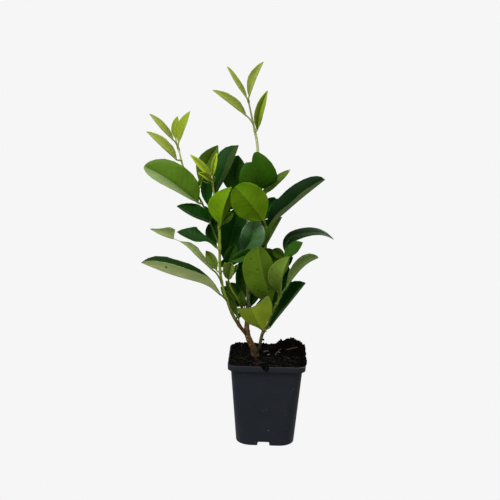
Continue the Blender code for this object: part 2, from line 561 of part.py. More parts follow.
leaf("leaf_right_arched", "right_stem", 264, [(285.2, 251.5, 20), (288.9, 240.5, 24), (306, 232.9, 24), (323, 233.4, 20), (333.8, 239.6, 16)],
     8.8, (20, 66), (-36, -74), 1, "grey", "wide_foot")
leaf("leaf_right_green", "right_stem", 268, [(283.5, 259, 2), (292, 251.2, 0), (302.8, 242.4, -2)],
     9.5, 28, -58, 1, "green", "laurel")
leaf("leaf_right_cupped", "right_stem", 295, [(279.8, 291.5, -18), (282.4, 274, -40), (289.3, 256.5, -43)],
     16, 0, 76, -1, "r5", "laurel")
leaf("leaf_right_outer", "right_stem", 296, [(284.5, 289.5, -2), (296.5, 273.5, -3), (310, 261.5, -4), (318.6, 257.6, -4)],
     12.7, 32, -140, 1, "r6", "narrow_foot")
leaf("leaf_right_low", "right_stem", 328, [(269.4, 327.4, 6), (280.4, 313.9, 8), (294.7, 296.4, 10), (305.6, 283, 10)],
     17.9, 20, -95, 1, "dark", "broad")
leaf("leaf_right_shade", "right_stem", 298, [(281.5, 296, 6), (285, 281, 10), (288, 266, 12)],
     9, -30, -30, 1, "dark", "laurel")

# the far side of the crown, hidden in the elevation and made up to match the near side
leaf("foliage_back_top", "main_stem", 165, [(256, 167, 18), (253, 168, 42), (250, 170, 66)],
     11, -40, -30, 1, "dark", "laurel")
leaf("foliage_back_upper", "main_stem", 190, [(260, 187, 22), (262, 178, 50), (263, 171, 82)],
     16, -40, -30, 1, "dark", "full")
leaf("foliage_back_upper_left", "main_stem", 205, [(252, 203, 22), (244, 196, 45), (236, 190, 74)],
     14, -30, -30, 1, "dark", "full")
leaf("foliage_back_upper_right", "main_stem", 222, [(260, 220, 20), (271, 211, 42), (284, 203, 68)],
     12, -30, -40, 1, "dark", "laurel")
leaf("foliage_back_centre", "main_stem", 215, [(256, 213, 24), (254, 211, 54), (252, 209, 86)],
     16, -30, -30, 1, "dark", "full")
leaf("foliage_back_centre_left", "main_stem", 240, [(247, 237, 22), (238, 229, 46), (232, 224, 74)],
     15, -30, -30, 1, "dark", "full")
leaf("foliage_back_centre_low", "main_stem", 250, [(247, 246.5, 26), (243, 245.5, 54), (240, 245.5, 82)],
     15, -30, -30, 1, "dark", "full")
leaf("foliage_back_lower", "main_stem", 264, [(255, 262, 22), (258, 257, 48), (260, 254, 80)],
     16, -30, -30, 1, "dark", "full")
leaf("foliage_back_low", "main_stem", 286, [(254.5, 282, 24), (258, 276, 48), (261, 270, 74)],
     11, -30, -30, 1, "dark", "laurel")
leaf("foliage_back_left", "left_stem", 212, [(220, 208, 6), (222, 204, 30), (224, 203, 56)],
     11, -30, -30, 1, "dark", "laurel")
leaf("foliage_back_side", "left_twig", 186, [(198, 186, 20), (204, 178, 40), (209, 170, 58)],
     8, -30, -30, 1, "dark", "laurel")
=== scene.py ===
"""Looks of the potted cherry laurel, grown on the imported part.

Sizes are millimetres until a mesh is made. The plant is laid out on the same front elevation as the part:
(across, down, depth) is read from an eye 1.1 m in front of the pot, and seen() turns it into millimetres.
"""

import json
import math

import bmesh
import bpy
import numpy as np
from mathutils import Matrix
from mathutils.bvhtree import BVHTree

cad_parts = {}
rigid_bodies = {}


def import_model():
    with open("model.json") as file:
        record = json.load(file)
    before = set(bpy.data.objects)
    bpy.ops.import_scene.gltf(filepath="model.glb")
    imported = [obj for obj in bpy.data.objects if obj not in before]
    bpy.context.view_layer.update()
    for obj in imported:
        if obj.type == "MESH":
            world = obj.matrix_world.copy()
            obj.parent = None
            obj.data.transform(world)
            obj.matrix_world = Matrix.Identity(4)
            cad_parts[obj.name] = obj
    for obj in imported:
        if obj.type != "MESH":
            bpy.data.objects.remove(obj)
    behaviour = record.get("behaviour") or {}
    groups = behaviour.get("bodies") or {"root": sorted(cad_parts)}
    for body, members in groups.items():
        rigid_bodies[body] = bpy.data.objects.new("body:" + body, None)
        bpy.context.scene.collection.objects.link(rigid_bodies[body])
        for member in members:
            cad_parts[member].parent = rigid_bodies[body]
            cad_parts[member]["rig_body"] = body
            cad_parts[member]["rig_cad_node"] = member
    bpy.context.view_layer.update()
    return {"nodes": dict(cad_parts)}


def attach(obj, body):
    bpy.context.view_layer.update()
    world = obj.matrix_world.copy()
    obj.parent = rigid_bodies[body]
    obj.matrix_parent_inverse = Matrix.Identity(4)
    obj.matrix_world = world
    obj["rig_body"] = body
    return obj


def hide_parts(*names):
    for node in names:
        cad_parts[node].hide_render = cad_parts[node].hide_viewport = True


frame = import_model()

MM = 0.001

# ---- pot and soil, as in the part
RIM_WIDTH, RIM_HEIGHT, POT_HEIGHT = 90.0, 7.0, 100.0
BODY_TOP_WIDTH, BASE_WIDTH, WALL, FLOOR = 82.5, 68.0, 1.5, 1.8
BASE_CORNER, BODY_CORNER, RIM_CORNER = 18.0, 9.0, 10.0
NOTCH_WIDTH, NOTCH_HEIGHT, NOTCH_DEPTH, NOTCH_AT = 14.0, 6.6, 11.5, -1.5
SOIL_LEVEL = 95.9
MOUND_AT, MOUND_SPREAD, MOUND_RISE = (29.0, 33.5), (19.5, 10.5), 13.8

# ---- the eye of the front elevation
EYE_DIST, EYE_UP, EYE_SIDE = 1102.0, 446.0, -22.8
EYE_TURN, EYE_DIP, EYE_ROLL, EYE_LENGTH = -0.98, -11.27, 1.30, 970.0

# ---- leaves
CUP = 22.0
STEPS = 72
COLS = 10
THICK = 0.42


# ------------------------------------------------------------------ the elevation
def eye_frame():
    a, p, r = (math.radians(x) for x in (EYE_TURN, EYE_DIP, EYE_ROLL))
    fwd = np.array([math.sin(a) * math.cos(p), math.cos(a) * math.cos(p), math.sin(p)])
    right = np.array([math.cos(a), -math.sin(a), 0.0])
    up = np.cross(right, fwd)
    pos = -EYE_DIST * np.array([math.sin(a), math.cos(a), 0.0]) + EYE_SIDE * right + np.array([0, 0, EYE_UP])
    return pos, math.cos(r) * right + math.sin(r) * up, -math.sin(r) * right + math.cos(r) * up, fwd


EYE, ACROSS, UPWARD, AHEAD = eye_frame()


def seen(across, down, depth):
    d = AHEAD + ACROSS * (across - 250.0) / EYE_LENGTH + UPWARD * (250.0 - down) / EYE_LENGTH
    return EYE + d * (depth - EYE[1]) / d[1]


def reading(p):
    d = np.asarray(p, float) - EYE
    z = d @ AHEAD
    return 250.0 + EYE_LENGTH * (d @ ACROSS) / z, 250.0 - EYE_LENGTH * (d @ UPWARD) / z


def unit(v):
    return v / max(np.linalg.norm(v), 1e-12)


def smooth_path(points, steps):
    """Natural cubic through the points, resampled evenly along its length."""
    pts = np.asarray(points, float)
    k = len(pts)
    run = np.concatenate([[0.0], np.cumsum(np.linalg.norm(np.diff(pts, axis=0), axis=1))])
    if k == 2:
        w = np.linspace(0.0, 1.0, steps + 1)[:, None]
        return pts[0] + (pts[1] - pts[0]) * w, np.repeat([unit(pts[1] - pts[0])], steps + 1, 0)
    h = np.diff(run)
    a = np.eye(k)
    b = np.zeros((k, 3))
    for i in range(1, k - 1):
        a[i, i - 1], a[i, i], a[i, i + 1] = h[i - 1], 2.0 * (h[i - 1] + h[i]), h[i]
        b[i] = 6.0 * ((pts[i + 1] - pts[i]) / h[i] - (pts[i] - pts[i - 1]) / h[i - 1])
    m = np.linalg.solve(a, b)
    fine = []
    for q in np.linspace(0.0, run[-1], 301):
        i = min(int(np.searchsorted(run, q, side="right")) - 1, k - 2)
        u, v = run[i + 1] - q, q - run[i]
        fine.append(m[i] * u**3 / (6 * h[i]) + m[i + 1] * v**3 / (6 * h[i])
                    + (pts[i] / h[i] - m[i] * h[i] / 6) * u + (pts[i + 1] / h[i] - m[i + 1] * h[i] / 6) * v)
    fine = np.array(fine)
    far = np.concatenate([[0.0], np.cumsum(np.linalg.norm(np.diff(fine, axis=0), axis=1))])
    q = np.linspace(0.0, far[-1], steps + 1)
    out = np.stack([np.interp(q, far, fine[:, c]) for c in range(3)], -1)
    tan = np.gradient(out, axis=0)
    return out, tan / np.linalg.norm(tan, axis=1)[:, None]


def path_length(line):
    return float(np.linalg.norm(np.diff(line, axis=0), axis=1).sum())


# ------------------------------------------------------------------ materials
def linear(rgb):
    return tuple(((c / 255.0) / 12.92) if c / 255.0 <= 0.04045 else ((c / 255.0 + 0.055) / 1.055) ** 2.4 for c in rgb)


MATERIALS = {}


def material(name, rgb, rough=0.5, specular=0.5, speckle=0.12, grain=90.0, bump=0.0, bump_grain=600.0, coat=0.0,
             second=None, second_at=(0.55, 0.72), second_grain=400.0):
    """Plain base colour with a fine generic mottle, and a second plain colour in small spots where asked."""
    if name in MATERIALS:
        return MATERIALS[name]
    mat = bpy.data.materials.new(name)
    mat.use_nodes = True
    tree = mat.node_tree
    tree.nodes.clear()
    out = tree.nodes.new("ShaderNodeOutputMaterial")
    bsdf = tree.nodes.new("ShaderNodeBsdfPrincipled")
    tree.links.new(bsdf.outputs["BSDF"], out.inputs["Surface"])
    bsdf.inputs["Roughness"].default_value = rough
    bsdf.inputs["Specular IOR Level"].default_value = specular
    if coat:
        bsdf.inputs["Coat Weight"].default_value = coat
        bsdf.inputs["Coat Roughness"].default_value = 0.22
    base = linear(rgb)
    coord = tree.nodes.new("ShaderNodeTexCoord")
    noise = tree.nodes.new("ShaderNodeTexNoise")
    noise.inputs["Scale"].default_value = grain
    noise.inputs["Detail"].default_value = 4.0
    noise.inputs["Roughness"].default_value = 0.6
    tree.links.new(coord.outputs["Object"], noise.inputs["Vector"])
    ramp = tree.nodes.new("ShaderNodeValToRGB")
    ramp.color_ramp.elements[0].position = 0.30
    ramp.color_ramp.elements[1].position = 0.70
    ramp.color_ramp.elements[0].color = (*[c * (1 - speckle) for c in base], 1)
    ramp.color_ramp.elements[1].color = (*[min(c * (1 + speckle), 1) for c in base], 1)
    tree.links.new(noise.outputs["Fac"], ramp.inputs["Fac"])
    colour = ramp.outputs["Color"]
    if second is not None:
        spots = tree.nodes.new("ShaderNodeTexNoise")
        spots.inputs["Scale"].default_value = second_grain
        spots.inputs["Detail"].default_value = 3.0
        tree.links.new(coord.outputs["Object"], spots.inputs["Vector"])
        pick = tree.nodes.new("ShaderNodeValToRGB")
        pick.color_ramp.elements[0].position = second_at[0]
        pick.color_ramp.elements[1].position = second_at[1]
        pick.color_ramp.elements[0].color = (0, 0, 0, 1)
        pick.color_ramp.elements[1].color = (1, 1, 1, 1)
        tree.links.new(spots.outputs["Fac"], pick.inputs["Fac"])
        mix = tree.nodes.new("ShaderNodeMix")
        mix.data_type = "RGBA"
        tree.links.new(pick.outputs["Color"], mix.inputs[0])
        tree.links.new(colour, mix.inputs[6])
        mix.inputs[7].default_value = (*linear(second), 1)
        colour = mix.outputs[2]
    tree.links.new(colour, bsdf.inputs["Base Color"])
    if bump:
        fine = tree.nodes.new("ShaderNodeTexNoise")
        fine.inputs["Scale"].default_value = bump_grain
        fine.inputs["Detail"].default_value = 3.0
        tree.links.new(coord.outputs["Object"], fine.inputs["Vector"])
        node = tree.nodes.new("ShaderNodeBump")
        node.inputs["Strength"].default_value = bump
        node.inputs["Distance"].default_value = 0.0004
        tree.links.new(fine.outputs["Fac"], node.inputs["Height"])
        tree.links.new(node.outputs["Normal"], bsdf.inputs["Normal"])
    MATERIALS[name] = mat
    return mat


# ------------------------------------------------------------------ meshes
class Heap:
    """Vertices and faces gathered into one mesh with several materials."""

    def __init__(self, name):
        self.name, self.verts, self.faces, self.mats, self.slots, self.count = name, [], [], [], [], 0

    def slot(self, mat):
        if mat not in self.mats:
            self.mats.append(mat)
        return self.mats.index(mat)

    def add(self, verts, faces, slots):
        self.verts.append(np.asarray(verts, float))
        self.faces.extend([tuple(i + self.count for i in f) for f in faces])
        self.slots.extend(slots)
        self.count += len(verts)

    def make(self, body="root", smooth=True):
        verts = np.concatenate(self.verts) * MM
        mesh = bpy.data.meshes.new(self.name)
        mesh.from_pydata(verts.tolist(), [], self.faces)
        for m in self.mats:
            mesh.materials.append(m)
        mesh.polygons.foreach_set("material_index", np.array(self.slots, np.int32))
        mesh.polygons.foreach_set("use_smooth", np.full(len(self.faces), smooth))
        mesh.update()
        ob = bpy.data.objects.new(self.name, mesh)
        bpy.context.scene.collection.objects.link(ob)
        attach(ob, body)
        return ob


def wobble(rng, terms, top_k, top_w):
    """A repeatable uneven function of angle and length, from a few waves."""
    waves = [(rng.integers(0, top_k + 1), rng.uniform(-top_w, top_w), rng.uniform(0, math.tau), rng.uniform(0.4, 1.0))
             for _ in range(terms)]
    total = sum(w[3] for w in waves)

    def at(theta, run):
        return sum(w[3] * np.sin(w[0] * theta + w[1] * run + w[2]) for w in waves) / total

    return at


def tube(heap, line, radii, sides, slots, bump=None, close=(True, True)):
    """Round limb along a line; radii per station, bump(theta, run) adds millimetres, slots per station."""
    line = np.asarray(line, float)
    n = len(line)
    tan = np.gradient(line, axis=0)
    tan /= np.linalg.norm(tan, axis=1)[:, None]
    side = unit(np.cross(tan[0], (0.0, 1.0, 0.02)))
    verts, run = [], 0.0
    theta = np.arange(sides) * math.tau / sides
    for i in range(n):
        if i:
            run += np.linalg.norm(line[i] - line[i - 1])
            side = unit(side - (side @ tan[i]) * tan[i])
        front = np.cross(side, tan[i])
        r = radii[i] + (bump(theta, run) if bump else 0.0)
        r = np.maximum(r, 0.05) * np.ones(sides)
        verts.append(line[i] + np.outer(r * np.cos(theta), side) + np.outer(r * np.sin(theta), front))
    verts = np.concatenate(verts)
    faces, marks = [], []
    for i in range(n - 1):
        for k in range(sides):
            j = (k + 1) % sides
            faces.append((i * sides + k, (i + 1) * sides + k, (i + 1) * sides + j, i * sides + j))
            marks.append(slots[i] if not callable(slots) else slots(i, k))
    if close[0]:
        faces.append(tuple(range(sides)))
        marks.append(marks[0])
    if close[1]:
        faces.append(tuple((n - 1) * sides + k for k in range(sides - 1, -1, -1)))
        marks.append(marks[-1])
    heap.add(verts, faces, marks)


def blob(heap, centre, radii, rng, slot, rough=0.25, rings=4, sides=7, spin=None):
    """A small closed uneven lump."""
    verts = []
    basis = np.linalg.qr(rng.normal(size=(3, 3)))[0] if spin is None else spin
    verts.append((0, 0, -1))
    for b in range(1, rings):
        phi = math.pi * b / rings - math.pi / 2
        for k in range(sides):
            t = math.tau * (k + 0.5 * (b % 2)) / sides
            g = 1 + rough * (rng.random() - 0.5) * 2
            verts.append((g * math.cos(phi) * math.cos(t), g * math.cos(phi) * math.sin(t), g * math.sin(phi)))
    verts.append((0, 0, 1))
    v = (np.array(verts) * np.array(radii)) @ basis.T + centre
    faces = [(0, 1 + (k + 1) % sides, 1 + k) for k in range(sides)]
    for b in range(rings - 2):
        for k in range(sides):
            a0, a1 = 1 + b * sides + k, 1 + b * sides + (k + 1) % sides
            faces.append((a0, a1, a1 + sides, a0 + sides))
    low, top = 1 + (rings - 2) * sides, len(verts) - 1
    faces += [(top, low + k, low + (k + 1) % sides) for k in range(sides)]
    if np.linalg.det(basis) < 0:
        faces = [tuple(reversed(f)) for f in faces]
    heap.add(v, faces, [slot] * len(faces))


# ------------------------------------------------------------------ leaf colours
# kind: upper side, underside, rib on the upper side, rib below, roughness, specular, quilting in mm
KINDS = {
    "young": ((124, 140, 34), (162, 176, 76), (150, 166, 62), (172, 184, 92), 0.48, 0.05, 0.12),
    # a lighter copy of young's upper side and rib for the three middle tips: painted light over the shade they fall in
    "young3": ((146, 164, 44), (162, 176, 76), (166, 180, 70), (172, 184, 92), 0.48, 0.05, 0.12),
    "young2": ((116, 136, 34), (140, 154, 50), (136, 156, 50), (158, 172, 72), 0.48, 0.05, 0.12),
    # a darker copy of dark's upper side and rib for leaf_right_long: painted shade
    "night": ((9, 34, 5), (116, 140, 84), (22, 50, 14), (128, 150, 100), 0.48, 0.03, 0.2),
    "broad": ((76, 107, 22), (124, 144, 84), (62, 92, 22), (144, 162, 100), 0.44, 0.10, 0.34),
    "mid": ((90, 112, 36), (124, 144, 84), (104, 126, 46), (144, 162, 100), 0.48, 0.07, 0.34),
    "inner": ((100, 124, 44), (124, 144, 84), (118, 140, 56), (144, 162, 100), 0.5, 0.06, 0.2),
    "mid2": ((40, 74, 6), (104, 132, 60), (54, 88, 14), (124, 146, 80), 0.50, 0.05, 0.24),
    "olive": ((68, 92, 20), (105, 128, 52), (84, 108, 32), (124, 146, 74), 0.50, 0.06, 0.22),
    "olive2": ((58, 84, 16), (96, 122, 50), (74, 100, 28), (116, 140, 70), 0.50, 0.05, 0.2),
    "dark": ((20, 56, 11), (88, 114, 60), (36, 76, 22), (110, 134, 76), 0.46, 0.035, 0.22),
    "dark2": ((28, 58, 10), (56, 84, 26), (30, 66, 14), (78, 106, 44), 0.50, 0.03, 0.18),
    "bright": ((100, 140, 30), (88, 123, 12), (120, 155, 45), (92, 128, 20), 0.55, 0.05, 0.13),
    "bright2": ((100, 140, 20), (102, 138, 14), (122, 158, 36), (116, 150, 28), 0.55, 0.05, 0.22),
    # gloss: the upper colour is the leaf's dark green lifted toward grey, partly a painted reflection of its whitish
    # gloss
    "gloss": ((48, 84, 38), (95, 122, 56), (72, 108, 60), (120, 144, 80), 0.36, 0.5, 0.3),
    "gloss2": ((26, 60, 14), (100, 128, 60), (46, 82, 28), (124, 148, 84), 0.42, 0.08, 0.22),
    "green": ((38, 74, 11), (86, 114, 44), (62, 104, 26), (110, 134, 66), 0.50, 0.06, 0.2),
    "pale": ((30, 62, 16), (156, 176, 104), (60, 90, 35), (172, 190, 124), 0.6, 0.05, 0.2),
    "long_pale": ((20, 48, 9), (202, 220, 142), (50, 86, 28), (186, 202, 138), 0.6, 0.05, 0.24),
    "large_front": ((70, 100, 20), (84, 112, 24), (90, 120, 34), (94, 121, 34), 0.6, 0.04, 0.14),
    "cut_front": ((82, 108, 20), (158, 184, 50), (108, 134, 40), (168, 192, 66), 0.6, 0.04, 0.2),
    "cupped": ((50, 80, 18), (98, 122, 42), (76, 104, 34), (112, 136, 56), 0.6, 0.05, 0.2),
    "outer": ((60, 88, 26), (108, 130, 66), (84, 110, 42), (118, 138, 78), 0.6, 0.05, 0.2),
    "arched": ((20, 46, 12), (86, 112, 52), (40, 70, 26), (112, 136, 72), 0.40, 0.12, 0.2),
}
# leaves whose colour is not that of their kind in the part
TINTED = {"leaf_inner_low": "inner", "leaf_left_stub": "inner", "leaf_upper_right_narrow": "olive", "leaf_right_long": "night",
          "leaf_left_broad": "broad", "leaf_middle_tip_left": "young3", "leaf_middle_tip_low": "young3", "leaf_middle_tip_upright": "young3",
          "leaf_low_left": "olive2", "leaf_low_shade": "dark2", "small_inner_low_half": "inner"}
ALIAS = {"b5": "long_pale", "c4": "large_front", "f1": "cut_front", "r5": "cupped", "r6": "outer", "grey": "arched"}
DRY = (118, 104, 84)
STALK_YOUNG, STALK_GREEN = (140, 150, 66), (106, 128, 44)


def leaf_materials(kind):
    top, under, rib, rib_under, rough, spec, _ = KINDS[kind]
    edge = tuple(int(a * 0.6 + b * 0.4) for a, b in zip(top, rib_under))
    young = kind.startswith("young")
    return [
        material("leaf_%s_top" % kind, top, rough, spec, 0.14, 70.0, 0.0 if young else 0.04, 900.0),
        material("leaf_%s_under" % kind, under, rough + 0.08, spec * 0.7, 0.10, 80.0, 0.0 if young else 0.04, 900.0),
        material("leaf_%s_rib" % kind, rib, rough + 0.05, spec, 0.08, 120.0),
        material("leaf_%s_rib_under" % kind, rib_under, rough + 0.12, spec * 0.7, 0.08, 120.0),
        material("leaf_%s_edge" % kind, edge, rough + 0.1, spec * 0.7, 0.08, 120.0),
        material("leaf_stalk_young" if young else "leaf_stalk_green", STALK_YOUNG if young else STALK_GREEN, 0.5, 0.12, 0.12, 200.0),
        material("leaf_dry", DRY, 0.8, 0.2, 0.3, 300.0),
        # painted sheen: a pale grey-green base colour standing for the grazing reflection on a glossy upper side
        material("leaf_painted_sheen", (110, 129, 78), 0.45, 0.1, 0.12, 80.0),
        material("leaf_speck", (26, 26, 10), 0.8, 0.05, 0.1, 80.0),
    ]


# ------------------------------------------------------------------ limbs
# each place: across, down, depth, radius in mm
LIMBS = {
    "trunk": [(254.8, 353.5, 16, 4.5), (253.2, 348, 15, 3.9), (250.3, 342, 14, 3.7), (247.3, 333.6, 13.2, 3.5)],
    "main_stem": [(247.1, 332.9, 13.4, 3.1), (247.3, 318, 15, 2.6), (248.0, 302, 16, 2.2), (248.4, 287, 15, 2.4),
                  (250, 262, 14, 2.0), (253, 235, 13, 1.9), (256.5, 205, 12, 1.7), (258.6, 175, 11, 1.6),
                  (257.9, 152, 10, 1.65), (256.7, 140, 9, 1.55), (253.7, 125.8, 8, 1.25), (250.6, 111.2, 7, 1.0),
                  (248.3, 100.5, 6, 0.9)],
    "left_stem": [(243.0, 330.3, 8.6, 2.2), (238.0, 323.5, 5, 2.1), (231.9, 313, 0, 2.0), (228, 303, -3, 1.6),
                  (223.6, 290, -6, 1.5), (220.6, 275, -8, 1.5), (219.7, 250, -9, 1.6), (219.4, 229, -9, 1.5),
                  (217.3, 210, -7, 1.3), (214.5, 196, -5, 1.2), (212.3, 181, -5, 1.0)],
    "right_stem": [(258.6, 348.8, 12.4, 2.0), (260.8, 340, 11.6, 2.0), (263.0, 332.5, 9, 2.0), (268, 325, 5, 1.7),
                   (273, 311, 1, 1.5), (278.0, 301.5, -3, 1.5), (280.2, 292, -4, 1.4), (282, 272, 2, 1.1),
                   (284.5, 258, 8, 0.9)],
    "left_twig": [(218.4, 243, -5.6, 1.1), (212.5, 229, -1, 1.05), (207.5, 216, 3, 1.0), (202, 203, 6, 1.1),
                  (194, 188, 8, 1.1), (187, 174.5, 8, 1.1), (182.8, 165.6, 7, 1.05), (179.3, 151.8, 6, 1.0),
                  (177.6, 146.4, 6, 0.9)],
    "inner_twig": [(244.3, 311, 11.6, 1.2), (239.5, 301.5, 5, 1.1), (233, 292, 0, 1.1), (228.2, 281, -3, 0.9)],
}
TRUNK_FOOT = seen(*LIMBS["trunk"][0][:3])


def limb_rows(name):
    """Places and radii of a limb, run on into whatever it grows from."""
    rows = [(seen(a, d, y), r) for a, d, y, r in LIMBS[name]]
    if name == "main_stem":
        rows = [(seen(a, d, y), r) for a, d, y, r in LIMBS["trunk"]] + rows[1:]
        foot = rows[0][0] + (rows[0][0] - rows[1][0]) * 0.9
        rows = [(foot, rows[0][1] + 1.2)] + rows
    elif name == "left_stem":
        rows = [(seen(246.4, 334.5, 13.0), 2.0)] + rows
    elif name == "right_stem":
        rows = [(seen(255.4, 353.6, 14.4), 2.2)] + rows
    elif name == "left_twig":
        rows = [(seen(219.6, 245.5, -8.8), 1.2)] + rows
    elif name == "inner_twig":
        rows = [(seen(246.8, 314, 15.0), 1.2)] + rows
    return rows


STEM_LINES = {}


def on_stem(stem, down):
    if stem not in STEM_LINES:
        rows = limb_rows(stem)
        places = np.array([r[0] for r in rows])
        run = np.concatenate([[0.0], np.cumsum(np.linalg.norm(np.diff(places, axis=0), axis=1))])
        line, tan = smooth_path(places, 400)
        rad = np.interp(np.linspace(0, run[-1], 401), run, [r[1] for r in rows])
        STEM_LINES[stem] = (line, tan, rad, np.array([reading(p)[1] for p in line]))
    line, tan, rad, downs = STEM_LINES[stem]
    k = int(down[0] * 400) if isinstance(down, tuple) else int(np.argmin(abs(downs - down)))
    return line[k], tan[k], rad[k], k / 400.0


# ------------------------------------------------------------------ leaves
OUTLINES = {
    "laurel": [(0, .05), (.06, .22), (.15, .50), (.28, .80), (.42, .96), (.55, 1.0), (.68, .95), (.80, .76), (.90, .48), (.96, .22), (1, .03)],
    "round": [(0, .06), (.05, .26), (.13, .58), (.25, .86), (.40, 1.0), (.55, 1.0), (.70, .93), (.83, .76), (.93, .50), (.98, .28), (1, .06)],
    "broad": [(0, .05), (.05, .22), (.15, .48), (.30, .74), (.48, .92), (.64, 1.0), (.78, .95), (.89, .72), (.96, .40), (1, .04)],
    "lance": [(0, .06), (.08, .30), (.20, .64), (.36, .94), (.50, 1.0), (.64, .92), (.78, .68), (.90, .36), (.96, .16), (1, .03)],
    "full": [(0, .06), (.04, .24), (.10, .52), (.20, .80), (.35, .96), (.50, 1.0), (.65, .97), (.78, .87), (.88, .70), (.95, .48), (.985, .27), (1, .06)],
    "cut": [(0, .05), (.08, .25), (.22, .55), (.45, .85), (.70, .98), (.90, 1.0), (1, .98)],
    "narrow_foot": [(0, .05), (.06, .10), (.15, .26), (.25, .50), (.38, .82), (.5, .97), (.62, 1.0), (.75, .96), (.86, .80), (.94, .52), (.98, .28), (1, .05)],
    "heart": [(0, .05), (.06, .20), (.15, .50), (.25, .72), (.38, .90), (.5, .98), (.62, 1.0), (.75, .96), (.86, .80), (.94, .52), (.98, .28), (1, .05)],
    "spatula": [(0, .06), (.04, .26), (.10, .56), (.20, .84), (.35, .98), (.50, 1.0), (.65, .95), (.78, .82), (.88, .60), (.95, .38), (.985, .20), (1, .05)],
    "wide_foot": [(0, .10), (.06, .42), (.15, .74), (.28, .95), (.42, 1.0), (.55, .97), (.70, .84), (.83, .61), (.93, .33), (1, .04)],
    "low_belly": [(0, .05), (.06, .24), (.15, .55), (.28, .86), (.42, 1.0), (.55, .98), (.68, .84), (.80, .60), (.90, .36), (.96, .18), (1, .03)],
    "long_foot": [(0, .05), (.08, .20), (.2, .50), (.32, .80), (.45, .96), (.6, 1.0), (.75, .96), (.88, .72), (.95, .42), (1, .03)],
    "winged_stalk": [(0, .13), (.1, .17), (.22, .22), (.32, .42), (.44, .82), (.56, 1.0), (.70, .92), (.84, .62), (.94, .32), (1, .03)],
    "bitten": [(0, .06), (.10, .22), (.25, .46), (.36, .55), (.48, .40), (.56, .12), (.60, .04), (.685, .05), (.71, .94), (.76, .93), (.82, .76), (.92, .30), (1, .03)],
}


def turn_at(turn, s):
    return math.radians(turn if not isinstance(turn, tuple) else turn[0] + (turn[1] - turn[0]) * s)


HEAPS = {}
SPANS = {}
# leaves that carry the painted sheen colour on one half
PAINTED_REFLECTION_LEAVES = ("leaf_left_broad",)
SPECKLED = {"leaf_front_large": 0.012, "leaf_right_cupped": 0.010, "leaf_left_long": 0.005, "leaf_left_bitten": 0.004, "leaf_centre_left": 0.003}
WIDER = {"leaf_front_cut": 1.12, "leaf_centre_glossy": 1.2}
NODES_OF = {}
LEAVES = []
FEET = {}


def leaf(name, stem, node_down, path, half, turn_a, turn_b, face, kind, outline, lobes=(0, 0), shoulder=(0, 0), hs=(1, 1)):
    if name in WIDER:
        hs = (hs[0], hs[1] * WIDER[name])
    LEAVES.append((name, stem, node_down, [seen(*p) for p in path], half, turn_a, turn_b, face, TINTED.get(name, ALIAS.get(kind, kind)),
                   outline, lobes, shoulder, hs))


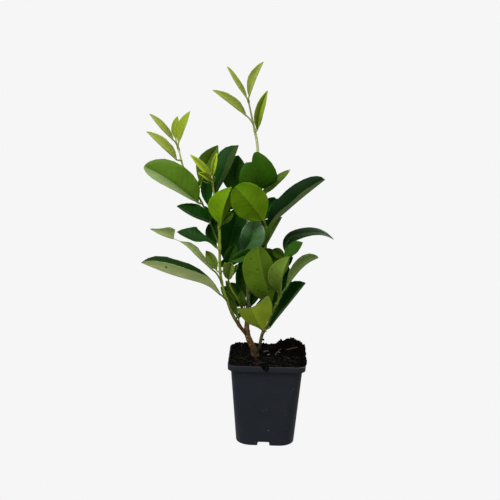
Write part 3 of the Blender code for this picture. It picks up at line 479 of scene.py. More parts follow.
def blade(row, index, steps=STEPS, half_cols=COLS):
    name, stem, node_down, places, half, turn_a, turn_b, face, kind, outline, lobes, shoulder, hs = row
    rng = np.random.default_rng(1000 + index)
    key = kind if steps == STEPS else kind + "_within"
    heap = HEAPS.setdefault(key, Heap("leaves_" + key))
    mats = [heap.slot(m) for m in leaf_materials(kind)]
    TOP, UNDER, RIB, RIB_UNDER, EDGE, STALK, DEAD, PAINTED_SHEEN, SPECK = mats
    first = len(heap.faces)
    quilt = KINDS[kind][6]
    line, tan = smooth_path(places, steps)
    length = path_length(line)
    at, width = zip(*OUTLINES[outline])
    n_veins = max(5, round(length / 7.0))
    teeth = max(6, round(length / 4.6))
    saw = 0.05 + 0.17 * min(1.0, max(0.0, (half - 8.0) / 8.0))
    wave_n, wave_p = rng.uniform(1.6, 2.6), rng.uniform(0, math.tau, 2)
    wave_a = 0.028 * half * rng.uniform(0.6, 1.2)
    cols = 2 * half_cols + 1
    u = np.linspace(0, 1, half_cols) ** 0.9
    grid = np.zeros((steps + 1, cols, 3))
    share = np.zeros((steps + 1, cols))
    widths = np.zeros(steps + 1)
    for i in range(steps + 1):
        s = i / steps
        look = unit(line[i] - EYE)
        t = tan[i]
        away = unit(look - (look @ t) * t)
        m = unit(t - (t @ look) * look)
        left = np.cross(m, look)
        left = unit(left - (left @ t) * t)
        cup = math.radians(CUP) * face
        for side, toward, turn in ((-1, left, turn_a), (1, -left, turn_b)):
            k = 0 if side < 0 else 1
            w = half * hs[k] * np.interp(s, at, width)
            notch = (s * teeth + 0.37 * k) % 1.0
            w = w + saw * min(1.0, w / 6.0) * (notch - 0.35 if notch < 0.82 else (1 - notch) * 2.6 - 0.35)
            w = max(w, 0.25)
            widths[i] = max(widths[i], w)
            rib = min(0.45, 0.55 * (1.05 - 0.75 * s) / w)
            q = np.concatenate([[0.0], rib + (1 - rib) * u])
            both = turn_at(turn_a, s) + turn_at(turn_b, s)
            fold = min(1.0, max(0.0, (w - 0.4) / 1.8))
            base_turn = turn_at(turn, s) - both * (1.0 - fold) / 2
            p = line[i].copy()
            for j in range(1, half_cols + 1):
                mid_q = (q[j] + q[j - 1]) / 2
                a = base_turn + cup * (mid_q - 0.5) * 1.2 * fold
                p = p + w * (q[j] - q[j - 1]) * (math.cos(a) * toward + math.sin(a) * away)
                part = min(w * q[j] / half, 1.0)
                grid[i, half_cols + side * j] = (p + t * lobes[k] * 4 * part * (1 - part) * s**3
                                            + t * shoulder[k] * part**1.5 * s**3)
                share[i, half_cols + side * j] = q[j]
        grid[i, half_cols] = line[i]
    # surface normals, upper side out
    along = np.gradient(grid, axis=0)
    over = np.gradient(grid, axis=1)
    e1 = grid[:, half_cols + 1] - grid[:, half_cols]
    e0 = grid[:, half_cols] - grid[:, half_cols - 1]
    over[:, half_cols] = e1 / np.linalg.norm(e1, axis=1)[:, None] + e0 / np.linalg.norm(e0, axis=1)[:, None]
    nrm = np.cross(over, along) * face
    nrm /= np.maximum(np.linalg.norm(nrm, axis=2), 1e-9)[:, :, None]
    # relief: sunk veins with quilting between, wavy margin, grooved midrib
    s = np.linspace(0, 1, steps + 1)[:, None] * np.ones((1, cols))
    side = np.sign(np.arange(cols) - half_cols)[None, :] * np.ones((steps + 1, 1))
    sweep = 0.62 * half / length * share**1.25
    phase = (s - sweep) * n_veins + np.where(side > 0, 0.5, 0.0) * 0.6
    vein = 0.5 + 0.5 * np.cos(math.tau * phase)
    ends = np.sin(math.pi * np.clip(s, 0.0, 1.0)) ** 0.5
    body = np.sin(math.pi * np.clip(share, 0, 1)) ** 0.6
    rise = quilt * ends * body * (0.45 * (1 - vein) - 0.75 * vein**5)
    rise += np.where(side < 0, wave_a * np.sin(math.tau * wave_n * s + wave_p[0]), wave_a * np.sin(math.tau * wave_n * s + wave_p[1])) * share**2 * ends
    rise += 0.05 * np.sin(31 * s + 5 * share * side) * np.cos(17 * s - 9 * share)
    groove = np.exp(-((share * widths[:, None]) / 0.6) ** 2)
    ridge = np.exp(-((share * widths[:, None]) / 0.75) ** 2) * (1.0 - 0.7 * s)
    taper = np.clip(widths[:, None] / 1.5, 0.35, 1.0)
    rise -= 0.22 * groove * taper * ends
    thick = THICK * taper * (1 - 0.45 * share**3)
    top = grid + nrm * (rise + thick / 2)[:, :, None]
    low = grid + nrm * (rise - thick / 2 - 0.65 * ridge * taper)[:, :, None]
    rows = steps + 1
    verts = np.concatenate([top.reshape(-1, 3), low.reshape(-1, 3)])
    far = rows * cols
    faces, marks = [], []
    flip = face < 0
    dead_from = {"leaf_upper_right_narrow": 0.93, "leaf_front_cut": 0.988, "leaf_upper_notched": 0.992,
                 "leaf_right_long": 0.985, "leaf_left_long": 0.985}.get(name, 2.0)

    def put(quad, mark):
        faces.append(quad if not flip else tuple(reversed(quad)))
        marks.append(mark)

    for i in range(rows - 1):
        dead = (i + 0.5) / steps > dead_from
        for j in range(cols - 1):
            a, b, c, d = i * cols + j, (i + 1) * cols + j, (i + 1) * cols + j + 1, i * cols + j + 1
            rib = j in (half_cols - 1, half_cols)
            run = (i + 0.5) / steps
            # painted sheen: on these leaves the left half, off the rib and past the foot, takes the pale sheen colour
            # in place of the upper colour
            upper = PAINTED_SHEEN if name in PAINTED_REFLECTION_LEAVES and j < half_cols - 1 and run > 0.08 else TOP
            lower = SPECK if name in SPECKLED and rng.random() < SPECKLED[name] and not rib else UNDER
            put((a, d, c, b), DEAD if dead else RIB if rib else upper)
            put((a + far, b + far, c + far, d + far), DEAD if dead else RIB_UNDER if rib else lower)
        a, b = i * cols, (i + 1) * cols
        put((a, b, b + far, a + far), DEAD if dead else EDGE)
        a, b = i * cols + cols - 1, (i + 1) * cols + cols - 1
        put((a, a + far, b + far, b), DEAD if dead else EDGE)
    for j in range(cols - 1):
        put((j, j + far, j + 1 + far, j + 1), EDGE)
        e = (rows - 1) * cols
        put((e + j, e + j + 1, e + j + 1 + far, e + j + far), DEAD if dead_from < 1 else EDGE)
    heap.add(verts, faces, marks)
    # stalk: from the limb into the line of the midrib, then fading along the underside
    axis, up, rad, place = on_stem(stem, node_down)
    base = line[0]
    off = (base - axis) - ((base - axis) @ up) * up
    out = unit(off)
    start = axis + out * rad * 0.55
    reach = np.linalg.norm(base - start)
    bend = base - tan[0] * reach * 0.4
    thin = 0.62 + 0.022 * half
    pts, rr = [], []
    n = max(6, int(reach / 0.8))
    for k in range(n):
        w = k / n
        pts.append((1 - w) ** 2 * start + 2 * w * (1 - w) * bend + w * w * base)
        rr.append(thin * (1.0 + 0.55 * math.exp(-w * reach / 1.6)))
    run = max(2, int(0.16 * steps))
    for k in range(run + 1):
        w = k / run
        pts.append(line[k] - nrm[k, half_cols] * (0.25 + 0.35 * w))
        rr.append(thin * (1 - w) ** 0.7 + 0.12)
    tube(heap, pts, rr, 9, [STALK] * len(pts))
    FEET.setdefault(stem, []).append((place, out, rad))
    SPANS[name] = (kind, first, len(heap.faces))
    if name in frame["nodes"]:
        NODES_OF.setdefault(kind, []).append(name)
    return top, low, nrm


leaf("leaf_tip_left", "main_stem", 101, [(247, 97.8, 2), (237.2, 84.4, -3), (226.8, 65.7, -6)],
     9, -124, 56, 1, "young", "lance")
leaf("leaf_tip_right", "main_stem", 101, [(249.0, 96.2, 9), (255.8, 78.0, 6), (263.6, 61.5, 7)],
     9.8, 32, -148, 1, "young", "lance")
leaf("leaf_tip_low_left", "main_stem", 122, [(246.3, 115.6, 5), (230.6, 103.6, -4), (212.3, 89.8, -8)],
     10.0, -148, 32, 1, "young", "lance")
leaf("leaf_tip_low_right", "main_stem", 131, [(257.2, 130, 5), (260.3, 109, -3), (267.6, 90.4, -2)],
     7.9, -45, -52, 1, "young2", "lance")
leaf("leaf_side_tip_outer", "left_twig", 148, [(173.6, 140.2, 1), (162.2, 129.2, -4), (149.2, 113.3, -6)],
     9.4, -136, 44, 1, "young", "lance")
leaf("leaf_side_tip_low", "left_twig", 160, [(176.6, 159.5, 2), (162.6, 147, -7), (146.3, 131.2, -9)],
     11.2, -146, 34, 1, "young", "lance")
leaf("leaf_side_tip_middle", "left_twig", 146.4, [(175.8, 139, 10), (174.9, 128.5, 12), (177.7, 116, 13)],
     5.5, 38, -30, 1, "young2", "lance")
leaf("leaf_side_tip_inner", "left_twig", 150, [(178.4, 143, 4), (182.3, 127.6, 2), (190.2, 111, 5)],
     8, 34, -66, 1, "young", "lance")
leaf("leaf_middle_tip_left", "left_stem", 181, [(211.2, 178, -9), (203.6, 168.2, -14), (190, 154.6, -15)],
     5.9, -52, -40, 1, "young", "lance")
leaf("leaf_middle_tip_upright", "left_stem", 181, [(212.7, 176.5, -1.5), (213.8, 165.5, -4), (217.1, 152.7, -2)],
     4.8, -50, -50, 1, "young", "lance")
leaf("leaf_middle_tip_low", "left_stem", 184, [(210.6, 181, -11), (205.4, 175.8, -20), (197.8, 173, -29)],
     5.5, -50, -40, 1, "young", "lance")
leaf("leaf_left_broad", "left_twig", 203, [(198, 202.5, 1), (183, 190.4, -5), (168.3, 179.2, -8), (144.2, 166.2, -6)],
     22.0, (-86, -44), -5, 1, "mid", "spatula", hs=(0.8, 1))
leaf("leaf_upper_left_rear", "left_twig", 190, [(201, 185, 20), (206.5, 165, 32), (218, 145.2, 36)],
     13.5, -28, -25, 1, "olive", "lance")
leaf("leaf_upper_left_folded", "left_stem", 203, [(214.8, 195, 10), (228.8, 170, 14), (238.5, 145.5, 24)],
     19.3, 10, -108, 1, "dark", "broad")
leaf("leaf_upper_shade", "main_stem", 200, [(241, 195, 18), (234, 177, 26), (238.5, 155.5, 34)],
     17, -30, -25, 1, "dark2", "laurel")
leaf("leaf_upper_notched", "main_stem", 190, [(261, 189, 4), (257.5, 176, -4), (251.8, 162, -4)],
     22.8, -16, -16, 1, "mid2", "round", lobes=(3, 11), shoulder=(0, 5))
leaf("leaf_upper_right_narrow", "main_stem", 200, [(262.5, 194, 8), (276.6, 179.9, 12), (290.3, 169.6, 14)],
     5.8, 35, -25, 1, "olive", "wide_foot")
leaf("leaf_centre_round", "main_stem", 232, [(263.5, 220.5, -20), (249.5, 202, -36), (235.5, 186.8, -44)],
     20.4, 12, 12, -1, "bright", "round")
leaf("leaf_centre_left", "left_stem", 228, [(220.6, 225, -15), (223.4, 209, -26), (231.5, 187, -32)],
     19, 14, 62, -1, "bright2", "low_belly", hs=(1.0, 0.9))
leaf("leaf_centre_glossy", "main_stem", 256, [(243, 252.5, -2), (252.0, 236.5, -10), (254.5, 218.5, -6)],
     15, -26, -34, 1, "gloss", "laurel")
leaf("leaf_centre_shade", "left_stem", 262, [(226, 264, 12), (231, 238, 22), (240, 206, 24)],
     18, -25, -22, 1, "dark", "laurel")
leaf("leaf_inner_low", "inner_twig", 282, [(228.4, 279.5, -6), (230, 271, -12), (232, 262.5, -16)],
     10, -28, -62, 1, "green", "cut")
leaf("leaf_left_upper", "left_twig", 222, [(208.6, 222.0, -3), (192.5, 216.0, -10), (176.8, 206.2, -12)],
     15.6, -98, 18, 1, "dark", "wide_foot")
leaf("leaf_left_middle", "left_stem", 249, [(216, 247.2, -8), (206, 240.9, -10), (196, 240.4, -12), (186.5, 237.2, -12), (177, 231.8, -12)],
     16.5, -84, 18, 1, "gloss2", "winged_stalk", hs=(0.75, 1))
leaf("leaf_left_bitten", "left_stem", 282, [(213.6, 270.5, -18), (197.5, 256, -29), (179.5, 241, -35), (165, 236.2, -38), (149.8, 228.6, -39)],
     15.5, -140, 36, 1, "pale", "bitten")
leaf("leaf_left_long", "left_stem", 299, [(220.5, 294.5, -12), (208, 285.4, -20), (183, 277.5, -32), (158, 269.2, -38), (141.3, 262.6, -40)],
     20.5, -122, 30, 1, "b5", "long_foot")
leaf("leaf_left_stub", "left_stem", 272, [(216.5, 270, -2), (212.5, 261, -2), (206, 250.8, -2)],
     7.5, -36, -40, 1, "olive2", "laurel")
leaf("leaf_low_left", "left_stem", 325, [(238.6, 319, 8), (233.4, 301, 10), (220.5, 287.0, 10)],
     12.5, 14, -84, 1, "dark2", "laurel", hs=(0.6, 1))
leaf("leaf_low_shade", "main_stem", 304, [(243.5, 303, 21), (240.5, 283, 26), (243, 255, 25)],
     13, -25, -25, 1, "dark", "laurel", hs=(0.5, 1))
leaf("leaf_front_large", "right_stem", 311, [(271, 303, -12), (264, 281, -34), (257.8, 247.2, -44)],
     22.0, 8, (22, 66), -1, "c4", "heart")
leaf("leaf_front_cut", "right_stem", 331, [(262.6, 330.5, -4), (256.8, 320, -22), (251, 307.5, -38)],
     20, (46, -4), 8, -1, "f1", "cut", hs=(0.76, 1.08), shoulder=(17, 2.5), lobes=(0, -2.8))
leaf("leaf_right_long", "main_stem", 222, [(267.5, 227, 2), (283, 213.8, 0), (303, 196.8, 0), (325, 179.6, 2)],
     18.4, 12, -104, 1, "dark", "full")
leaf("leaf_right_inner", "main_stem", 256, [(264.5, 248, 12), (272.2, 234, 14), (282, 217, 16)],
     14, 32, -98, 1, "olive2", "laurel")
leaf("leaf_right_arched", "right_stem", 264, [(285.2, 251.5, 20), (288.9, 240.5, 24), (306, 232.9, 24), (323, 233.4, 20), (333.8, 239.6, 16)],
     8.8, (20, 66), (-36, -74), 1, "grey", "wide_foot")
leaf("leaf_right_green", "right_stem", 268, [(283.5, 259, 2), (292, 251.2, 0), (302.8, 242.4, -2)],
     9.5, 28, -58, 1, "green", "laurel")
leaf("leaf_right_cupped", "right_stem", 295, [(279.8, 291.5, -18), (282.4, 274, -40), (289.3, 256.5, -43)],
     16, 0, 76, -1, "r5", "laurel")
leaf("leaf_right_outer", "right_stem", 296, [(284.5, 289.5, -2), (296.5, 273.5, -3), (310, 261.5, -4), (318.6, 257.6, -4)],
     12.7, 32, -140, 1, "r6", "narrow_foot")
leaf("leaf_right_low", "right_stem", 328, [(269.4, 327.4, 6), (280.4, 313.9, 8), (294.7, 296.4, 10), (305.6, 283, 10)],
     17.9, 20, -95, 1, "dark", "broad")
leaf("leaf_right_shade", "right_stem", 298, [(281.5, 296, 6), (285, 281, 10), (288, 266, 12)],
     9, -30, -30, 1, "dark", "laurel")
leaf("foliage_back_top", "main_stem", 165, [(256, 167, 18), (253, 168, 42), (250, 170, 66)],
     11, -40, -30, 1, "dark", "laurel")
leaf("foliage_back_upper", "main_stem", 190, [(260, 187, 22), (262, 178, 50), (263, 171, 82)],
     16, -40, -30, 1, "dark", "full")
leaf("foliage_back_upper_left", "main_stem", 205, [(252, 203, 22), (244, 196, 45), (236, 190, 74)],
     14, -30, -30, 1, "dark", "full")
leaf("foliage_back_upper_right", "main_stem", 222, [(260, 220, 20), (271, 211, 42), (284, 203, 68)],
     12, -30, -40, 1, "dark", "laurel")
leaf("foliage_back_centre", "main_stem", 215, [(256, 213, 24), (254, 211, 54), (252, 209, 86)],
     16, -30, -30, 1, "dark", "full")
leaf("foliage_back_centre_left", "main_stem", 240, [(247, 237, 22), (238, 229, 46), (232, 224, 74)],
     15, -30, -30, 1, "dark", "full")
leaf("foliage_back_centre_low", "main_stem", 250, [(247, 246.5, 26), (243, 245.5, 54), (240, 245.5, 82)],
     15, -30, -30, 1, "dark", "full")
leaf("foliage_back_lower", "main_stem", 264, [(255, 262, 22), (258, 257, 48), (260, 254, 80)],
     16, -30, -30, 1, "dark", "full")
leaf("foliage_back_low", "main_stem", 286, [(254.5, 282, 24), (258, 276, 48), (261, 270, 74)],
     11, -30, -30, 1, "dark", "laurel")
leaf("foliage_back_left", "left_stem", 212, [(220, 208, 6), (222, 204, 30), (224, 203, 56)],
     11, -30, -30, 1, "dark", "laurel")
leaf("foliage_back_side", "left_twig", 186, [(198, 186, 20), (204, 178, 40), (209, 170, 58)],
     8, -30, -30, 1, "dark", "laurel")
# small leaves between the large ones
leaf("small_centre", "left_stem", 226, [(221.5, 225, 4), (226, 219, 6), (233.5, 213, 6)],
     6, -30, -30, 1, "olive2", "laurel")
leaf("small_left", "left_stem", 248, [(216.5, 246, 0), (211.5, 236, 3), (208.5, 224, 4)],
     7.5, -35, -30, 1, "dark", "laurel")
leaf("small_inner_shade", "left_stem", 272, [(225.5, 268, 2), (229.5, 257, 0), (235.5, 244.5, 0)],
     8.5, -38, -30, 1, "dark2", "laurel")
leaf("small_inner_cross", "main_stem", 258, [(252, 250, -8), (242, 256.5, -20), (230.5, 260.5, -24)],
     7.5, -30, -36, 1, "green", "laurel")
leaf("small_low_shade", "main_stem", 312, [(250.5, 307, 22), (254, 295, 26), (259, 278, 26)],
     8, -25, -25, 1, "dark2", "laurel")
leaf("small_low_bud", "main_stem", 312, [(244.5, 307, 7), (242.2, 300, 4), (241.5, 290.5, 4)],
     5, -25, -25, 1, "olive2", "laurel")
leaf("small_right_upper", "main_stem", 216, [(264, 213, 16), (269, 206, 18), (275, 197.3, 20)],
     8, -25, -25, 1, "dark", "laurel")
leaf("small_right_green", "right_stem", 270, [(284, 259.5, 14), (279, 254, 16), (272.6, 249.4, 18)],
     7, -30, -30, 1, "olive2", "laurel")
leaf("small_upper_left", "left_stem", 214, [(208.5, 206, 5), (206.8, 193, 9), (208.5, 172, 12)],
     8.5, -35, -30, 1, "dark", "laurel")
leaf("small_low_left_shade", "main_stem", 306, [(243.5, 302, 22), (238, 293.5, 24), (230.5, 282.5, 27)],
     8, -25, -20, 1, "dark2", "laurel")
leaf("small_right_strip", "right_stem", 304, [(275.5, 303.5, 4), (276.5, 294, 8), (279, 283, 12)],
     6, -30, -30, 1, "dark2", "laurel")
leaf("small_inner_low_half", "inner_twig", 281, [(229.6, 277.5, -8), (233.2, 271, -12), (238.2, 264.2, -16)],
     3.6, -30, -30, 1, "mid", "laurel")
leaf("small_left_cover", "left_twig", 224, [(209.8, 222.2, -3), (208.4, 214, -4), (204.5, 206, -5)],
     4.6, -24, -24, 1, "dark", "wide_foot")
leaf("small_left_cover_low", "left_stem", 246, [(218.2, 243, -1), (215.6, 232, 3), (212.0, 220.5, 5)],
     4.6, -30, -30, 1, "dark", "wide_foot")
leaf("small_low_cover", "inner_twig", 303, [(239.2, 303, 9), (233.6, 294, 10), (225.8, 280.5, 9)],
     5.0, -30, -30, 1, "olive2", "laurel")


made = {}
for number, row in enumerate(LEAVES):
    made[row[0]] = blade(row, number)


# ------------------------------------------------------------------ the inner crown, grown by rule
# small parts of the elevation where the crown is closed though no leaf of the list above reaches there
CLOSED = (
    ([(207, 207), (213, 214), (218, 221), (219, 242), (213, 236), (207, 222)], ("mid2", "dark")),
    ([(225, 279), (231, 284), (238, 296), (244, 307), (238, 308), (231, 300), (225, 288)], ("dark2", "olive2")),
    ([(236, 309), (244, 316), (243, 320), (238, 318)], ("mid2",)),
    ([(256, 218), (268, 217), (267, 227), (264, 232), (265, 248), (256, 248), (259, 236)], ("olive2", "dark", "mid2")),
    ([(265, 248), (273, 247.5), (284, 248), (291, 246), (291, 256), (282, 262), (273, 264), (267, 258)], ("olive2", "mid2")),
    ([(287, 257), (293, 256), (291, 269), (287, 269)], ("dark",)),
    ([(220, 253), (226, 258), (225, 271), (220, 268)], ("mid2", "olive2")),
    ([(231, 262), (239, 262), (236, 269), (232, 270)], ("olive2",)),
    ([(229, 280), (237, 280), (237, 286), (231, 285)], ("dark2",)),
    ([(271, 297), (276, 303), (273, 309), (270, 303)], ("dark",)),
    ([(226, 209), (230, 198), (229, 186), (236, 183), (237, 190), (234, 200), (240, 212), (228, 214)], ("dark2",)),
    ([(258, 184), (268, 184), (267, 196), (262, 196)], ("olive2",)),
    ([(243, 218), (250, 218), (251, 223), (244, 225)], ("olive2",)),
    ([(267, 299), (273, 300), (272, 312), (271, 326), (268, 327), (266, 312)], ("dark", "dark2")),
)


def inside(polygon, x, y):
    hit = np.zeros(np.shape(x), bool)
    for (x0, y0), (x1, y1) in zip(polygon, polygon[1:] + polygon[:1]):
        if y0 != y1:
            cross = ((y0 > y) != (y1 > y)) & (x < (x1 - x0) * (y - y0) / (y1 - y0) + x0)
            hit ^= cross
    return hit


NEAREST = np.full((500, 500), np.inf)


def cells(points):
    """Elevation cells and distances of a set of places."""
    d = np.asarray(points, float).reshape(-1, 3) - EYE
    z = d @ AHEAD
    x = np.clip(np.floor(250.0 + EYE_LENGTH * (d @ ACROSS) / z), 0, 499).astype(int)
    y = np.clip(np.floor(250.0 - EYE_LENGTH * (d @ UPWARD) / z), 0, 499).astype(int)
    return y, x, z


def finer(grid, rows, cols):
    """A sheet of places filled in between its rows and columns."""
    a, b = np.linspace(0, grid.shape[0] - 1, rows), np.linspace(0, grid.shape[1] - 1, cols)
    i, j = np.minimum(a.astype(int), grid.shape[0] - 2), np.minimum(b.astype(int), grid.shape[1] - 2)
    f, g = (a - i)[:, None, None], (b - j)[None, :, None]
    p = grid[i][:, j] * (1 - f) * (1 - g) + grid[i + 1][:, j] * f * (1 - g)
    return p + grid[i][:, j + 1] * (1 - f) * g + grid[i + 1][:, j + 1] * f * g


def lay(points):
    y, x, z = cells(points)
    np.minimum.at(NEAREST, (y, x), z)


def sheet_tree(grid):
    rows, cols = grid.shape[:2]
    quads = [(i * cols + j, (i + 1) * cols + j, (i + 1) * cols + j + 1, i * cols + j + 1) for i in range(rows - 1) for j in range(cols - 1)]
    return BVHTree.FromPolygons([tuple(p) for p in grid.reshape(-1, 3)], quads)


def ring_tree(line, radius):
    verts, faces, n = [], [], len(line)
    for i, p in enumerate(line):
        t = unit(line[min(i + 1, n - 1)] - line[max(i - 1, 0)])
        e = unit(np.cross(t, (0.3, 1.0, 0.1)))
        g = np.cross(t, e)
        verts += [tuple(p + radius[i] * (math.cos(a) * e + math.sin(a) * g)) for a in np.arange(6) * math.tau / 6]
    for i in range(n - 1):
        faces += [(i * 6 + k, (i + 1) * 6 + k, (i + 1) * 6 + (k + 1) % 6, i * 6 + (k + 1) % 6) for k in range(6)]
    return BVHTree.FromPolygons(verts, faces)


TREES, LIMB_TREES = [], []
for top, low, _ in made.values():
    lay(finer((top + low) / 2, 160, 90))
    TREES.append(sheet_tree(((top + low) / 2)[::4, ::2]))
NODES = []
for limb in ("main_stem", "left_stem", "right_stem", "left_twig", "inner_twig"):
    on_stem(limb, 300)
    line, _, rad, _ = STEM_LINES[limb]
    for f in np.linspace(-1, 1, 9):
        lay(line + np.outer(rad * f, ACROSS))
    LIMB_TREES.append(ring_tree(line[::8], rad[::8] + 0.3))
    NODES += [(limb, k / 400.0, line[k], reading(line[k])) for k in range(24, 392, 8)]

cell_y, cell_x = np.mgrid[0:500, 0:500] + 0.5
SHUT = np.full((500, 500), -1)
for number, (polygon, _) in enumerate(CLOSED):
    SHUT[inside(polygon, cell_x, cell_y)] = number


def sketch(places, half, turn_a, turn_b, outline):
    """The sheet of a leaf without its relief, 13 rows of 5 places."""
    line, tan = smooth_path(places, 12)
    at, width = zip(*OUTLINES[outline])
    grid = np.zeros((13, 5, 3))
    for i in range(13):
        look = unit(line[i] - EYE)
        t = tan[i]
        away = unit(look - (look @ t) * t)
        left = unit(np.cross(unit(t - (t @ look) * look), look))
        left = unit(left - (left @ t) * t)
        w = half * np.interp(i / 12, at, width) + 0.2
        for side, toward, turn in ((-1, left, turn_a), (1, -left, turn_b)):
            a = math.radians(turn)
            for j in (1, 2):
                grid[i, 2 + side * j] = line[i] + w * j / 2 * (math.cos(a) * toward + math.sin(a) * away)
        grid[i, 2] = line[i]
    return grid


def hidden(points, gap=0.8):
    """Where each place stands behind the crown or in a closed part of it."""
    y, x, z = cells(points)
    return (NEAREST[y, x] < z - gap) | ((SHUT[y, x] >= 0) & np.isinf(NEAREST[y, x])), y, x


def in_bounds(points):
    p = np.asarray(points).reshape(-1, 3)
    return p[:, 0].max() < 70 and p[:, 0].min() > -125 and p[:, 1].max() < 88 and p[:, 2].max() < 335 and p[:, 2].min() > 112


def clear(grid, limbs=True):
    tree = sheet_tree(grid)
    return not any(tree.overlap(other) for other in (TREES + LIMB_TREES if limbs else TREES))


def settle(name, stem, share, places, half, turn_a, turn_b, face, kind, outline, number, grid):
    row = (name, stem, (share,), places, half, turn_a, turn_b, face, kind, outline, (0, 0), (0, 0), (1, 1))
    blade(row, number, 48, 8)
    lay(finer(grid, 90, 40))
    TREES.append(sheet_tree(grid))


# leaves that close those parts, each from the limb beside it
first = np.random.default_rng(404)
grown = 0
for rng, most, least, trials, shortest in ((first, 34, 4, 36, 15.0), (np.random.default_rng(405), 50, 2, 44, 8.0)):
    tried = np.zeros((250, 250), bool)
    wanted = np.argwhere((SHUT >= 0) & np.isinf(NEAREST))
    for y0, x0 in wanted[rng.permutation(len(wanted))]:
        if not np.isinf(NEAREST[y0, x0]) or grown >= most or tried[y0 // 2, x0 // 2]:
            continue
        tried[y0 // 2, x0 // 2] = True
        near = [n for n in NODES if 5 < math.hypot(n[3][0] - x0, n[3][1] - y0) < 34 and n[0] != "left_twig"]
        best = None
        for trial in range(trials):
            limb, share, place, (px, py) = near[int(rng.integers(len(near)))]
            ux, uy = x0 + 0.5 - px, y0 + 0.5 - py
            reach = math.hypot(ux, uy)
            ln = max(reach * rng.uniform(1.1, 1.7), shortest)
            ux, uy = ux / reach, uy / reach
            bow, lean, back = rng.uniform(-3, 3), rng.uniform(-4, 4), rng.uniform(3, 20)
            ex, ey = px + ux * ln - uy * lean, py + uy * ln + ux * lean
            foot = (px + ux * ln * 0.16, py + uy * ln * 0.16, place[1] + rng.uniform(2, 5))
            mid = (px + ux * ln * 0.55 - uy * bow, py + uy * ln * 0.55 + ux * bow, place[1] + 3 + back * 0.7)
            places = [seen(*foot), seen(*mid), seen(ex, ey, place[1] + 3 + back)]
            half = ln * 1.15 * rng.uniform(0.17, 0.25)
            tilt, fold = rng.uniform(-40, 40), rng.uniform(8, 24)
            grid = sketch(places, half, tilt - fold, -tilt - fold, "laurel")
            fits, y, x = hidden(finer(grid, 50, 17))
            if fits.mean() < 0.985 or not in_bounds(grid):
                continue
            new = len({(a, b) for a, b in zip(y.tolist(), x.tolist()) if np.isinf(NEAREST[a, b])})
            if new >= least and (best is None or new > best[0]) and clear(grid):
                best = (new, limb, share, places, half, tilt - fold, -tilt - fold, grid)
        if best:
            _, limb, share, places, half, ta, tb, grid = best
            kinds = CLOSED[SHUT[y0, x0]][1]
            settle("inner_leaf_%d" % grown, limb, share, places, half, ta, tb, 1, kinds[int(rng.integers(len(kinds)))], "laurel", 300 + grown, grid)
            grown += 1
rng = first
left_open = int(((SHUT >= 0) & np.isinf(NEAREST)).sum())

# boughs behind the crown: a twig that leans back and up, then leaves by turns of 137.5 degrees around it
twigs = Heap("back_twigs")
twig_mat = twigs.slot(material("twig_green", (98, 118, 48), 0.55, 0.12, 0.2, 220.0, 0.2, 900.0))
back_leaves = 0
for bough in range(70):
    limb = ("main_stem", "main_stem", "main_stem", "left_stem", "right_stem", "left_twig")[int(rng.integers(6))]
    pool = [n for n in NODES if n[0] == limb and 165 < n[3][1] < 300]
    _, share, place, _ = pool[int(rng.integers(len(pool)))]
    heading, rise, ln = math.radians(rng.uniform(15, 165)), rng.uniform(0.2, 0.9), rng.uniform(20, 58)
    out = unit(np.array([math.cos(heading), math.sin(heading), rise]))
    turn0, trials = rng.uniform(0, math.tau), 0
    q = np.linspace(0, 1, 17)[:, None]
    line = place + out * ln * q + np.array([0, 0, 0.16 * ln]) * q**2
    ok, _, _ = hidden(line[3:])
    if not ok.all() or not in_bounds(line) or back_leaves > 90:
        continue
    tree = ring_tree(line[2:], np.full(15, 0.8))
    if any(tree.overlap(other) for other in TREES):
        continue
    twig = "bough_%d" % bough
    fine, tan = smooth_path(list(line), 400)
    STEM_LINES[twig] = (fine, tan, np.linspace(1.0, 0.55, 401), np.zeros(401))
    n_leaf, borne = int(rng.integers(3, 7)), 0
    for k in range(n_leaf):
        at_share = 0.98 if k == n_leaf - 1 else 0.22 + 0.7 * (k + 0.5) / n_leaf
        node = fine[int(at_share * 400)]
        axis = tan[int(at_share * 400)]
        e = unit(np.cross(axis, (0.2, 0.1, 1.0)))
        g = np.cross(axis, e)
        for trial in range(8):
            a = turn0 + math.radians(137.5) * k + rng.normal() * 0.35
            radial = math.cos(a) * e + math.sin(a) * g
            go = unit(axis * (1.4 if k == n_leaf - 1 else 0.75) + radial * rng.uniform(0.6, 1.1) + np.array([0, 0, 0.15]))
            size = rng.uniform(22, 44)
            base = node + go * rng.uniform(4, 6)
            sag = np.array([0, 0, -1.0]) * size * rng.uniform(0.02, 0.14)
            places = [base, base + go * size * 0.5, base + go * size + sag]
            half = size * rng.uniform(0.19, 0.25)
            look = unit(base - EYE)
            away = unit(look - (look @ go) * go)
            side = unit(np.cross(unit(go - (go @ look) * look), look))
            side = unit(side - (side @ go) * go)
            up = np.array([0, 0.35, 1.0])
            face = 1 if up @ away < 0 else -1
            tilt = math.degrees(math.atan2(face * (up @ side), -face * (up @ away)))
            fold = rng.uniform(6, 22) * face
            grid = sketch(places, half, tilt - fold, -tilt - fold, "laurel")
            fits, _, _ = hidden(finer(grid, 40, 13))
            if fits.all() and in_bounds(grid) and clear(grid):
                kind = ("dark", "mid2", "dark", "olive2", "gloss2", "mid")[int(rng.integers(6))]
                settle("back_leaf_%d" % back_leaves, twig, at_share, places, half, tilt - fold, -tilt - fold, face, kind,
                       "laurel", 600 + back_leaves, grid)
                back_leaves += 1
                borne += 1
                break
    if borne:
        reach = 400
        tube(twigs, fine[:reach + 1:16], np.linspace(1.0, 0.5, len(fine[:reach + 1:16])), 9, [twig_mat] * 26)
        LIMB_TREES.append(tree)
ob = twigs.make()
print("grown by rule:", grown, "closing leaves,", back_leaves, "leaves on boughs, cells left open", left_open)


